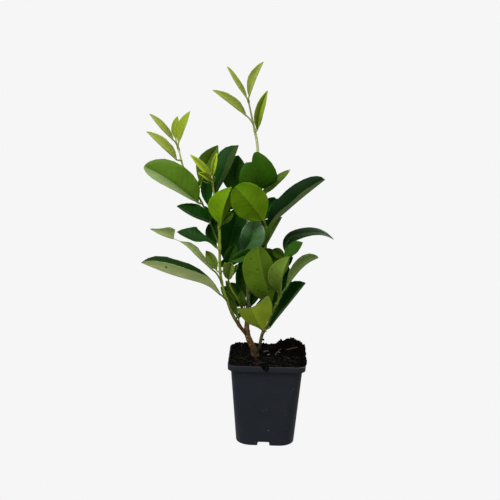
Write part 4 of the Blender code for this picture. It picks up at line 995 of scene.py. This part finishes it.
# ------------------------------------------------------------------ stems
def stem_piece(name, node_names, slot, seed, palette, sides=20, spacing=0.8):
    """palette: (share along the limb, colour names) in order; neighbours mingle where they meet."""
    rng = np.random.default_rng(seed)
    rows = limb_rows(name)
    places = np.array([r[0] for r in rows])
    run = np.concatenate([[0.0], np.cumsum(np.linalg.norm(np.diff(places, axis=0), axis=1))])
    steps = max(12, int(run[-1] / spacing))
    line, tan = smooth_path(places, steps)
    rad = np.interp(np.linspace(0, run[-1], steps + 1), run, [r[1] for r in rows])
    length = path_length(line)
    for place, _, _ in FEET.get(name, []):
        d = (np.linspace(0, 1, steps + 1) - place) * length
        rad = rad + 0.38 * np.exp(-(d / 1.7) ** 2) * np.minimum(1.0, rad)
    heap = Heap(name + "_bark")
    coarse = wobble(rng, 7, 3, 0.45)
    fine = wobble(rng, 12, 8, 1.9)
    woody = name in ("main_stem", "left_stem", "right_stem")

    def bump(theta, at):
        share = at / length
        rough = (0.16 if woody else 0.05) * max(0.25, 1.0 - 1.3 * share)
        base = rad[min(int(share * steps), steps)]
        value = rough * base * 0.55 * coarse(theta, at) + rough * 0.8 * fine(theta, at)
        if name == "main_stem" and at < 16:
            value = value + (1 - at / 16) ** 1.5 * (0.25 + 0.45 * np.cos(3 * theta + 0.6))
        return value

    marks = [heap.slot(material(*spec)) for _, spec in palette]
    cuts = [c for c, _ in palette]

    def pick(i, k):
        share = i / steps + rng.normal() * 0.012
        at = 0
        for c, cut in enumerate(cuts):
            if share >= cut:
                at = c
        return marks[at]

    tube(heap, line, rad, sides, pick, bump)
    return heap, line, rad, rng, marks


BARK_FOOT = ("bark_foot", (62, 48, 33), 0.85, 0.05, 0.35, 260.0, 0.5, 900.0, 0.0, (84, 68, 46), (0.58, 0.68), 420.0)
BARK = ("bark_brown", (84, 61, 32), 0.8, 0.08, 0.35, 260.0, 0.5, 900.0, 0.0, (120, 100, 68), (0.58, 0.68), 420.0)
BARK_GREY = ("bark_grey", (84, 80, 48), 0.75, 0.08, 0.3, 260.0, 0.4, 900.0, 0.0, (40, 32, 18), (0.54, 0.66), 420.0)
BARK_DARK = ("bark_dark", (46, 42, 26), 0.8, 0.06, 0.3, 260.0, 0.4, 900.0, 0.0, (86, 78, 50), (0.60, 0.70), 420.0)
BARK_LIGHT = ("bark_light", (112, 110, 72), 0.7, 0.08, 0.25, 260.0, 0.4, 900.0, 0.0, (58, 48, 28), (0.60, 0.70), 420.0)
GREY_GREEN = ("stem_grey_green", (104, 108, 58), 0.6, 0.10, 0.2, 220.0, 0.3, 900.0, 0.0, (84, 66, 36), (0.60, 0.70), 380.0)
OLIVE = ("stem_olive", (66, 80, 26), 0.55, 0.10, 0.16, 200.0, 0.15, 900.0)
GREEN = ("stem_green", (118, 135, 46), 0.5, 0.12, 0.14, 200.0, 0.15, 900.0)
YOUNG = ("stem_young", (130, 147, 58), 0.48, 0.12, 0.12, 200.0, 0.1, 900.0)
TIP_GREEN = ("stem_tip", (128, 138, 74), 0.5, 0.12, 0.12, 200.0, 0.1, 900.0)
PALE_STEM = ("stem_pale", (176, 182, 128), 0.5, 0.12, 0.12, 200.0, 0.1, 900.0)
STEMS = {
    "main_stem": (("trunk", "main_stem"), "bark", 31, [(0.0, BARK_FOOT), (0.05, BARK), (0.165, BARK_DARK), (0.187, BARK_LIGHT), (0.31, BARK_GREY), (0.42, GREY_GREEN), (0.6, GREEN), (0.73, PALE_STEM), (0.86, TIP_GREEN)]),
    "left_stem": (("left_stem",), "stem", 32, [(0.0, BARK), (0.14, GREY_GREEN), (0.26, GREEN), (0.8, YOUNG)]),
    "right_stem": (("right_stem",), "stem", 33, [(0.0, BARK_DARK), (0.12, BARK_GREY), (0.30, OLIVE), (0.44, GREEN)]),
    "left_twig": (("left_twig",), "stem", 34, [(0.0, OLIVE), (0.5, GREEN), (0.68, YOUNG), (0.86, PALE_STEM)]),
    "inner_twig": (("inner_twig",), "stem", 35, [(0.0, GREY_GREEN), (0.3, GREEN)]),
}
for stem_name, (covered, slot_name, seed, palette) in STEMS.items():
    heap, line, rad, rng, marks = stem_piece(stem_name, covered, slot_name, seed, palette)
    # buds in the leaf axils
    bud = heap.slot(material("bud", (98, 96, 44), 0.6, 0.1, 0.2, 300.0))
    for place, out, r in FEET.get(stem_name, []):
        k = int(place * (len(line) - 1))
        up = unit(line[min(k + 2, len(line) - 1)] - line[max(k - 2, 0)])
        c = line[k] + out * (rad[k] + 0.3) + up * 1.5
        z = unit(up * 0.8 + out * 0.6)
        x = unit(np.cross(z, (0.3, 0.9, 0.1)))
        blob(heap, c, (0.55, 0.55, 1.15), rng, bud, 0.06, 6, 8, np.stack([x, np.cross(z, x), z], 1))
    if stem_name == "main_stem":
        scar = heap.slot(material("bark_scar", (134, 106, 76), 0.8, 0.2, 0.2, 400.0))
        knot = heap.slot(material("bark_knot", (46, 34, 24), 0.85, 0.15, 0.3, 400.0))
        for place, size, mark in (((244.3, 333.2, 9.6), 1.5, scar), ((246.9, 336.6, 9.3), 1.15, scar), ((247.9, 339.8, 10.0), 0.9, scar),
                                  ((250.2, 345.0, 10.0), 0.8, scar), ((243.6, 329.4, 10.8), 1.2, marks[0]), ((246.9, 304.2, 13.6), 1.5, knot),
                                  ((249.6, 331.0, 10.5), 1.0, marks[0]), ((253.5, 350.5, 10.6), 1.0, marks[0])):
            blob(heap, seen(*place), (size, size * 0.75, size * 0.8), rng, mark, 0.2, 6, 9)
    if stem_name == "left_stem":
        node = heap.slot(material("bark_node", (112, 84, 50), 0.8, 0.2, 0.3, 400.0))
        for place, size in (((231.2, 312.6, -1.0), 1.75), ((232.6, 315.4, 0.2), 1.2), ((219.4, 250.2, -10.0), 1.35), ((219.9, 252.6, -9.8), 1.2)):
            blob(heap, seen(*place), (size, size, size * 0.8), rng, node, 0.22, 6, 9)
    if stem_name == "right_stem":
        node = heap.slot(material("bud_pale", (176, 150, 112), 0.7, 0.2, 0.2, 400.0))
        for place, size in (((265.4, 329.3, 5.6), 1.15), ((263.2, 332.6, 6.8), 1.0), ((266.4, 331.4, 5.4), 0.8)):
            blob(heap, seen(*place), (size, size, size), rng, node, 0.15, 6, 9)
    ob = heap.make()
    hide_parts(*covered)

# stipules and shoot-tip buds
tips = Heap("shoot_tips")
tip_slot = tips.slot(material("leaf_stalk_young", STALK_YOUNG, 0.5, 0.35, 0.12, 200.0))
rng = np.random.default_rng(5)
for pts, r0 in (([(203.4, 181.0, -6), (206.4, 182.7, -6), (209.9, 182.9, -6), (212.2, 183.4, -5)], 0.28),
                ([(214.5, 176.4, -8), (215.2, 179.4, -7), (214.1, 182.5, -6)], 0.28),
                ([(247.6, 100.5, 5), (246.2, 96.5, 4), (246.6, 92.5, 4)], 0.34),
                ([(248.6, 100.0, 6), (249.2, 95.0, 7), (248.4, 90.8, 7)], 0.40),
                ([(177.8, 147.0, 6), (176.4, 142.0, 6), (176.9, 137.5, 6)], 0.34),
                ([(212.3, 181.5, -5), (211.0, 176.5, -6), (211.4, 172.5, -6)], 0.34),
                ([(238.9, 322.0, 8), (237.4, 314.0, 4), (236.5, 305.0, 2)], 0.42)):
    line, _ = smooth_path([seen(*p) for p in pts], 14)
    tube(tips, line, np.linspace(r0, 0.08, 15), 7, [tip_slot] * 15)
ob = tips.make()

for key, heap in HEAPS.items():
    ob = heap.make()
    if NODES_OF.get(key):
        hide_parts(*NODES_OF[key])


# ------------------------------------------------------------------ pot
def rounded_square(half, corner, z, per_corner=10, between=10):
    pts = []
    for quarter in range(4):
        a0 = math.pi / 2 * quarter
        cx = (half - corner) * (1 if quarter in (0, 3) else -1)
        cy = (half - corner) * (1 if quarter in (0, 1) else -1)
        for k in range(per_corner + 1):
            t = a0 + math.pi / 2 * k / per_corner
            pts.append((cx + corner * math.cos(t), cy + corner * math.sin(t), z))
    out = []
    for i, p in enumerate(pts):
        out.append(p)
        if i % (per_corner + 1) == per_corner and between:
            q = pts[(i + 1) % len(pts)]
            out += [tuple(p[c] + (q[c] - p[c]) * k / (between + 1) for c in range(3)) for k in range(1, between + 1)]
    return out


def loft(rings, close=(True, True)):
    n = len(rings[0])
    verts = [p for ring in rings for p in ring]
    faces = []
    for r in range(len(rings) - 1):
        for i in range(n):
            j = (i + 1) % n
            faces.append((r * n + i, r * n + j, (r + 1) * n + j, (r + 1) * n + i))
    if close[0]:
        faces.append(tuple(range(n - 1, -1, -1)))
    if close[1]:
        faces.append(tuple((len(rings) - 1) * n + i for i in range(n)))
    return verts, faces


UNDER_RIM = POT_HEIGHT - RIM_HEIGHT


def outer_half(z):
    return (BASE_WIDTH + (BODY_TOP_WIDTH - BASE_WIDTH) * z / UNDER_RIM) / 2


def corner_at(z):
    return BASE_CORNER + (BODY_CORNER - BASE_CORNER) * z / UNDER_RIM


def arc(radius, steps, start, stop):
    return [(radius * math.cos(t), radius * math.sin(t)) for t in np.linspace(math.radians(start), math.radians(stop), steps)]


def simple_object(name, verts, faces, mat, smooth=True):
    mesh = bpy.data.meshes.new(name)
    mesh.from_pydata([tuple(float(c) * MM for c in v) for v in verts], [], faces)
    work = bmesh.new()
    work.from_mesh(mesh)
    bmesh.ops.recalc_face_normals(work, faces=work.faces)
    work.to_mesh(mesh)
    work.free()
    mesh.materials.append(mat)
    mesh.polygons.foreach_set("use_smooth", np.full(len(faces), smooth))
    ob = bpy.data.objects.new(name, mesh)
    bpy.context.scene.collection.objects.link(ob)
    return ob


pot_mat = material("pot_plastic", (25, 29, 36), 0.38, 0.30, 0.10, 60.0, 0.10, 1800.0, 0.0, (124, 124, 124), (0.728, 0.748), 520.0)
rings = []
# bottom edge, rounded
for dx, dz in arc(1.6, 5, -90, 0):
    z = 1.6 + dz
    rings.append(rounded_square(outer_half(z) - 1.6 + dx, BASE_CORNER - 1.6 + dx, z))
for z in np.linspace(4.0, UNDER_RIM - 0.8, 14):
    rings.append(rounded_square(outer_half(z), corner_at(z), z))
rim = RIM_WIDTH / 2
rings.append(rounded_square(outer_half(UNDER_RIM) + 0.15, BODY_CORNER, UNDER_RIM - 0.15))
rings.append(rounded_square(rim - 1.2, RIM_CORNER - 0.8, UNDER_RIM))
for dx, dz in arc(0.7, 4, -90, 0):
    rings.append(rounded_square(rim - 1.0 + dx, RIM_CORNER, UNDER_RIM + 0.7 + dz))
for z in (UNDER_RIM + 2.5, POT_HEIGHT - 2.0):
    rings.append(rounded_square(rim - 0.3 + 0.3 * (z - UNDER_RIM) / RIM_HEIGHT, RIM_CORNER, z))
for dx, dz in arc(0.7, 5, 0, 180):
    rings.append(rounded_square(rim - 0.75 + dx, RIM_CORNER - 0.7 + dx, POT_HEIGHT - 0.7 + dz))
rings.append(rounded_square(rim - WALL - 0.35, RIM_CORNER - WALL, UNDER_RIM + WALL + 0.5))
rings.append(rounded_square(rim - WALL - 0.8, RIM_CORNER - WALL, UNDER_RIM + WALL))
rings.append(rounded_square(outer_half(UNDER_RIM) - WALL + 0.4, BODY_CORNER - WALL, UNDER_RIM + WALL))
rings.append(rounded_square(outer_half(UNDER_RIM) - WALL, BODY_CORNER - WALL, UNDER_RIM + WALL - 0.4))
for z in (60.0, 30.0, FLOOR):
    rings.append(rounded_square(outer_half(z) - WALL, corner_at(z) - WALL, z))
verts, faces = loft(rings)
pot = simple_object("pot_shell", verts, faces, pot_mat)
tools = []
for k in range(4):
    turn = math.pi / 2 * k
    ca, sa = math.cos(turn), math.sin(turn)

    def turned(prof, y0, y1, steps=1):
        return [[((px + NOTCH_AT) * ca - yy * sa, (px + NOTCH_AT) * sa + yy * ca, pz) for px, pz in prof] for yy in np.linspace(y0, y1, steps + 1)]

    x = NOTCH_WIDTH / 2 + WALL
    prof = [(-x, 0.3), (x, 0.3), (x, NOTCH_HEIGHT + WALL), (-x, NOTCH_HEIGHT + WALL)]
    v, f = loft(turned(prof, -outer_half(0) + 1.0, -outer_half(0) + NOTCH_DEPTH + WALL + 0.4))
    tools.append((simple_object("alcove_%d" % k, v, f, pot_mat, False), "UNION"))
    x = NOTCH_WIDTH / 2
    prof = [(-x - 1.5, -1.0), (x + 1.5, -1.0), (x + 0.6, 0.0)]
    prof += [(x * math.copysign(abs(math.cos(t)) ** 0.7, math.cos(t)), 0.9 + (NOTCH_HEIGHT - 0.9) * math.sin(t) ** 0.7) for t in np.linspace(0.05, math.pi - 0.05, 15)]
    prof += [(-x - 0.6, 0.0)]
    v, f = loft(turned(prof, -outer_half(0) - 3.0, -outer_half(0) + NOTCH_DEPTH))
    tools.append((simple_object("notch_%d" % k, v, f, pot_mat, False), "DIFFERENCE"))
    a = turn + math.pi / 4
    v, f = loft([[(15 * math.cos(a) + 4 * math.cos(math.tau * i / 28), 15 * math.sin(a) + 4 * math.sin(math.tau * i / 28), z)
                  for i in range(28)] for z in (-1.0, FLOOR + 1.0)])
    tools.append((simple_object("drain_%d" % k, v, f, pot_mat, False), "DIFFERENCE"))
for tool, how in tools:
    mod = pot.modifiers.new(tool.name, "BOOLEAN")
    mod.solver = "EXACT"
    mod.operation = how
    mod.object = tool
bpy.context.view_layer.update()
done = bpy.data.meshes.new_from_object(pot.evaluated_get(bpy.context.evaluated_depsgraph_get()))
pot.modifiers.clear()
pot.data = done
for tool, _ in tools:
    bpy.data.objects.remove(tool, do_unlink=True)
done.materials.clear()
done.materials.append(pot_mat)
done.polygons.foreach_set("use_smooth", np.full(len(done.polygons), True))
done.set_sharp_from_angle(angle=math.radians(38))
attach(pot, "root")
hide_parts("pot")


# ------------------------------------------------------------------ soil
class Lumps:
    """Repeatable value noise on a square grid."""

    def __init__(self, seed):
        self.table = np.random.default_rng(seed).random((64, 64))

    def at(self, x, y, scale):
        x, y = np.asarray(x) / scale, np.asarray(y) / scale
        xi, yi = np.floor(x).astype(int), np.floor(y).astype(int)
        fx, fy = x - xi, y - yi
        fx, fy = fx * fx * (3 - 2 * fx), fy * fy * (3 - 2 * fy)
        t = self.table

        def v(a, b):
            return t[a % 64, b % 64]

        return ((v(xi, yi) * (1 - fx) + v(xi + 1, yi) * fx) * (1 - fy) + (v(xi, yi + 1) * (1 - fx) + v(xi + 1, yi + 1) * fx) * fy) - 0.5


LUMPS = Lumps(77)


def ground(x, y):
    """Height of the compost, its mound at the back right, and its crumbly surface."""
    x, y = np.asarray(x, float), np.asarray(y, float)
    dx, dy = (x - MOUND_AT[0]) / MOUND_SPREAD[0], (y - MOUND_AT[1]) / MOUND_SPREAD[1]
    mound = MOUND_RISE * np.exp(-(dx**4 + dy**4))
    bank = (6.4 * np.exp(-(((44.0 - y) / 11.0) ** 2)) + 3.6 * np.exp(-(((x + 44.0) / 9.0) ** 2))) * (1.0 - np.minimum(1.0, mound / 4.0))
    slope = -0.03 * (y + 5) * (y < 20) + np.minimum(bank, 6.4)
    rough = 2.6 * LUMPS.at(x + 70, y + 70, 11.0) + 1.9 * LUMPS.at(x + 31, y + 90, 4.6) + 1.3 * LUMPS.at(x + 11, y + 50, 2.1) + 0.8 * LUMPS.at(x + 5, y + 9, 1.1)
    return SOIL_LEVEL - 0.6 + mound + slope + rough * (1.0 - 0.5 * np.minimum(1.0, bank / 4.0))


soil = Heap("soil_bed")
dark = soil.slot(material("soil_dark", (5, 4, 3), 0.95, 0.03, 0.45, 500.0, 0.9, 1500.0, 0.0, (22, 17, 12), (0.64, 0.74), 900.0))
n_ring = 44
rings = [rounded_square(18.5, 5.0, FLOOR + 0.35, 10, 18), rounded_square(19.5, 5.0, NOTCH_HEIGHT + WALL + 1.0, 10, 18)]
for z in (11.0, 50.0, UNDER_RIM + 0.6):
    rings.append(rounded_square(outer_half(min(z, UNDER_RIM)) - WALL - 0.4, corner_at(min(z, UNDER_RIM)) - WALL, z, 10, 18))
edge_half = rim - WALL - 0.45
rings.append(rounded_square(edge_half - 0.6, RIM_CORNER - WALL - 0.4, UNDER_RIM + WALL + 0.15, 10, 18))
for k in range(n_ring):
    f = 1.0 - k / n_ring
    flat = rounded_square(edge_half * f, (RIM_CORNER - WALL) * f, 0.0, 10, 18)
    xs, ys = np.array([p[0] for p in flat]), np.array([p[1] for p in flat])
    zs = ground(xs, ys)
    if k == 0:
        zs = np.maximum(zs - 1.0, UNDER_RIM + WALL + 0.3)
    zs = np.maximum(zs, UNDER_RIM + WALL + 0.4 if f > 0.9 else 90.0)
    rings.append(list(zip(xs, ys, zs)))
verts, faces = loft(rings)
soil.add(verts, faces, [dark] * len(faces))
rng = np.random.default_rng(21)
crumb = soil.slot(material("soil_crumb", (6, 5, 4), 0.95, 0.03, 0.5, 700.0, 0.8, 1800.0))
crumb2 = soil.slot(material("soil_crumb_brown", (24, 18, 12), 0.95, 0.03, 0.4, 700.0, 0.8, 1800.0))
for k in range(900):
    x, y = rng.uniform(-42.5, 42.5, 2)
    if max(abs(x), abs(y)) > 40 and abs(x) + abs(y) > 74:
        continue
    size = 0.35 + 1.7 * rng.random() ** 3
    z = float(ground(x, y))
    if z < UNDER_RIM + WALL:
        continue
    blob(soil, np.array([x, y, z + 0.25 * size]), (size, size * rng.uniform(0.6, 1), size * rng.uniform(0.5, 0.9)), rng,
         crumb if rng.random() < 0.9 else crumb2, 0.35, 4, 6)
# crumbs caught on the rim
for x, y, z, size in ((-2.6, -45.3, 98.2, 1.9), (-0.2, -45.6, 96.4, 1.5), (-4.4, -45.0, 99.2, 1.8), (1.0, -45.0, 98.8, 1.8), (-1.8, -44.4, 100.2, 2.0),
                      (-5.2, -44.4, 100.1, 1.5), (1.8, -44.6, 96.6, 1.0), (-0.6, -45.7, 94.6, 0.9), (-3.2, -45.6, 96.8, 1.0),
                      (-1.2, -44.2, 100.2, 0.9), (9.0, -44.3, 100.1, 0.8), (43.6, 12, 100.3, 1.7), (43.9, 5, 100.1, 1.2), (43.4, 20, 100.6, 1.9),
                      (43.2, 26, 100.9, 1.8), (44.0, -2, 100.1, 1.0), (28, 43.8, 100.6, 1.4), (36, 43.4, 101.4, 1.6), (15, 43.9, 100.2, 0.9)):
    blob(soil, np.array([x, y, z]), (size, size * 0.8, size * 0.7), rng, crumb, 0.35, 5, 7)
# the heap spills over the right rim
for k in range(64):
    y = -37.0 + 78.0 * rng.random()
    x, z, size = 43.2 + 1.9 * rng.random(), 99.7 + 1.3 * rng.random(), 1.0 + 1.2 * rng.random()
    blob(soil, np.array([x, y, z + 0.8 * max(0.0, (y - 10.0) / 32.0)]), (size, size * rng.uniform(0.8, 1.3), size * 0.8), rng, crumb, 0.35, 5, 7)
# and lies against the left and back rims
for k in range(150):
    along = -36.0 + 74.0 * rng.random()
    size = 0.8 + 0.7 * rng.random()
    spot = (-42.6, along, 99.4) if k % 3 == 0 else (along - 3.0, 42.4 - 0.4 * rng.random(), 101.2 if k % 3 == 1 else 100.0)
    blob(soil, np.array(spot) + rng.normal(size=3) * 0.25, (size, size, size * 0.7), rng, crumb, 0.35, 5, 7)
soil_ob = soil.make()
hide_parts("soil")

litter = Heap("soil_fibres")
fibre_mats = [litter.slot(material("fibre_%d" % i, c, 0.85, 0.05, 0.25, 500.0)) for i, c in
              enumerate(((18, 14, 10), (10, 9, 7), (46, 38, 30), (8, 7, 6), (24, 20, 16)))]
for k in range(150):
    x, y = rng.uniform(-39, 39, 2)
    a, ln, bow = rng.uniform(0, math.tau), rng.uniform(4, 15), rng.normal() * 0.3
    pts = []
    for q in np.linspace(-0.5, 0.5, 5):
        px, py = x + ln * q * math.cos(a + bow * q), y + ln * q * math.sin(a + bow * q)
        px, py = np.clip(px, -42, 42), np.clip(py, -42, 42)
        pts.append((px, py, float(ground(px, py)) + 0.5 + 0.9 * rng.random()))
    line, _ = smooth_path(pts, 12)
    r = rng.uniform(0.12, 0.34)
    tube(litter, line, np.full(13, r), 5, [fibre_mats[int(rng.integers(0, 5))]] * 13)
chip_mats = [litter.slot(material("chip_%d" % i, c, 0.85, 0.2, 0.2, 400.0)) for i, c in enumerate(((100, 92, 84), (70, 59, 51), (44, 36, 30)))]


def on_ground(across, down, lift=0.5):
    """Where the sight line through a reading meets the compost."""
    best = None
    for depth in np.linspace(-42, 42, 169):
        p = seen(across, down, depth)
        gap = abs(p[2] - float(ground(p[0], p[1])))
        if best is None or gap < best[0]:
            best = (gap, p)
    return best[1] + np.array([0, 0, lift])


for ends, r, which in ((((263.5, 352.4), (268.5, 351.6)), 0.55, 0), (((275.2, 355.8), (277.6, 352.6)), 0.6, 1), (((277.6, 352.6), (281.2, 349.6)), 0.5, 1),
                       (((277.6, 352.6), (280.6, 353.4)), 0.4, 0), (((286.5, 350.4), (297.5, 348.0)), 0.6, 1), (((267.6, 355.8), (269.6, 355.2)), 0.7, 0),
                       (((240.5, 358.5), (246.0, 360.4)), 0.45, 2), (((250.5, 361.6), (258.5, 360.4)), 0.4, 2), (((284.0, 357.4), (290.0, 359.6)), 0.45, 2)):
    pts = [on_ground(*ends[0], 0.7), (on_ground(*ends[0], 0.7) + on_ground(*ends[1], 0.7)) / 2 + np.array([0, 0, 0.4]), on_ground(*ends[1], 0.7)]
    line, _ = smooth_path(pts, 10)
    tube(litter, line, np.full(11, r), 6, [chip_mats[which]] * 11)
blob(litter, seen(263.3, 339.6, 12.4), (1.3, 1.2, 1.3), rng, fibre_mats[3], 0.35, 5, 7)
ob = litter.make()


# ------------------------------------------------------------------ floor, light, camera
def plane(name, size, z, mat):
    mesh = bpy.data.meshes.new(name)
    mesh.from_pydata([(-size, -size, z), (size, -size, z), (size, size, z), (-size, size, z)], [], [(0, 1, 2, 3)])
    mesh.materials.append(mat)
    ob_ = bpy.data.objects.new(name, mesh)
    bpy.context.scene.collection.objects.link(ob_)
    return ob_


PALE = linear((246, 246, 246))


def pale_floor():
    mat = bpy.data.materials.new("floor_pale")
    mat.use_nodes = True
    tree = mat.node_tree
    tree.nodes.clear()
    out = tree.nodes.new("ShaderNodeOutputMaterial")
    glow = tree.nodes.new("ShaderNodeEmission")
    glow.inputs["Color"].default_value = (*PALE, 1)
    tree.links.new(glow.outputs["Emission"], out.inputs["Surface"])
    return mat


def backdrop(radius):
    """Pale surround seen behind the plant, a closed drum far outside the camera."""
    verts, faces, n = [], [], 64
    for z in (-0.02, radius):
        verts += [(radius * math.cos(math.tau * k / n), radius * math.sin(math.tau * k / n), z) for k in range(n)]
    faces = [(k, (k + 1) % n, n + (k + 1) % n, n + k) for k in range(n)]
    faces.append(tuple(range(2 * n - 1, n - 1, -1)))
    mesh = bpy.data.meshes.new("backdrop")
    mesh.from_pydata(verts, [], faces)
    ob_ = bpy.data.objects.new("backdrop", mesh)
    bpy.context.scene.collection.objects.link(ob_)
    return ob_


# floor and surround show as pale sheets, and the studio light passes them
floor = plane("floor", 6.0, -0.0005, pale_floor())
surround = backdrop(5.0)
surround.data.materials.append(floor.data.materials[0])
for sheet_ in (floor, surround):
    sheet_.visible_diffuse = False
    sheet_.visible_glossy = False
    sheet_.visible_shadow = False
    sheet_.visible_transmission = False

# brightness of the studio by the height that a sight line points to (-1 down, 1 up)
DOME = ((-1.0, 0.26), (-0.40, 0.30), (-0.05, 0.38), (0.20, 0.55), (0.60, 0.95), (1.0, 1.20))

world = bpy.data.worlds.new("studio")
bpy.context.scene.world = world
world.use_nodes = True
tree = world.node_tree
tree.nodes.clear()
out = tree.nodes.new("ShaderNodeOutputWorld")
dome = tree.nodes.new("ShaderNodeBackground")
coord = tree.nodes.new("ShaderNodeTexCoord")
parts = tree.nodes.new("ShaderNodeSeparateXYZ")
tree.links.new(coord.outputs["Generated"], parts.inputs["Vector"])
shift = tree.nodes.new("ShaderNodeMapRange")
shift.inputs["From Min"].default_value = -1.0
shift.inputs["From Max"].default_value = 1.0
tree.links.new(parts.outputs["Z"], shift.inputs["Value"])
ramp = tree.nodes.new("ShaderNodeValToRGB")
stops = ramp.color_ramp.elements
while len(stops) < 6:
    stops.new(0.5)
for stop, (height, level) in zip(stops, DOME):
    stop.position = (height + 1.0) / 2.0
    stop.color = (level * 0.8, level * 0.8, level * 0.8, 1.0)
tree.links.new(shift.outputs["Result"], ramp.inputs["Fac"])
tree.links.new(ramp.outputs["Color"], dome.inputs["Color"])
dome.inputs["Strength"].default_value = 1.25
tree.links.new(dome.outputs["Background"], out.inputs["Surface"])


def softbox(name, at, aim, size, watts, tint=(1, 1, 1)):
    data = bpy.data.lights.new(name, "AREA")
    data.shape = "SQUARE"
    data.size = size
    data.energy = watts
    data.color = tint
    ob_ = bpy.data.objects.new(name, data)
    bpy.context.scene.collection.objects.link(ob_)
    z = unit(np.array(at) - np.array(aim))
    x = unit(np.cross((0, 0, 1), z))
    y = np.cross(z, x)
    ob_.matrix_world = Matrix(((x[0], y[0], z[0], at[0]), (x[1], y[1], z[1], at[1]), (x[2], y[2], z[2], at[2]), (0, 0, 0, 1)))
    return ob_


softbox("key", (-0.55, -0.95, 1.35), (0, 0, 0.25), 0.6, 22.0)
softbox("back", (0.7, 0.9, 1.2), (0, 0, 0.25), 0.9, 9.0)

cam = bpy.data.cameras.new("camera")
cam.sensor_fit = "HORIZONTAL"
cam.sensor_width = 36.0
cam.lens = EYE_LENGTH / 500.0 * 36.0
cam.clip_start, cam.clip_end = 0.05, 20.0
cam_ob = bpy.data.objects.new("camera", cam)
bpy.context.scene.collection.objects.link(cam_ob)
e = EYE * MM
cam_ob.matrix_world = Matrix(((ACROSS[0], UPWARD[0], -AHEAD[0], e[0]), (ACROSS[1], UPWARD[1], -AHEAD[1], e[1]),
                              (ACROSS[2], UPWARD[2], -AHEAD[2], e[2]), (0, 0, 0, 1)))
bpy.context.scene.camera = cam_ob
bpy.context.scene.view_settings.view_transform = "Standard"
bpy.context.scene.view_settings.look = "None"
bpy.context.scene.view_settings.exposure = 0.0
bpy.context.scene.view_settings.gamma = 1.0

shown_low, shown_high = np.full(3, 1e9), np.full(3, -1e9)
for ob in bpy.context.scene.objects:
    if ob.type == "MESH" and ob.get("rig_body") and not ob.get("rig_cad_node"):
        co = np.array([ob.matrix_world @ v.co for v in ob.data.vertices])
        shown_low, shown_high = np.minimum(shown_low, co.min(0)), np.maximum(shown_high, co.max(0))
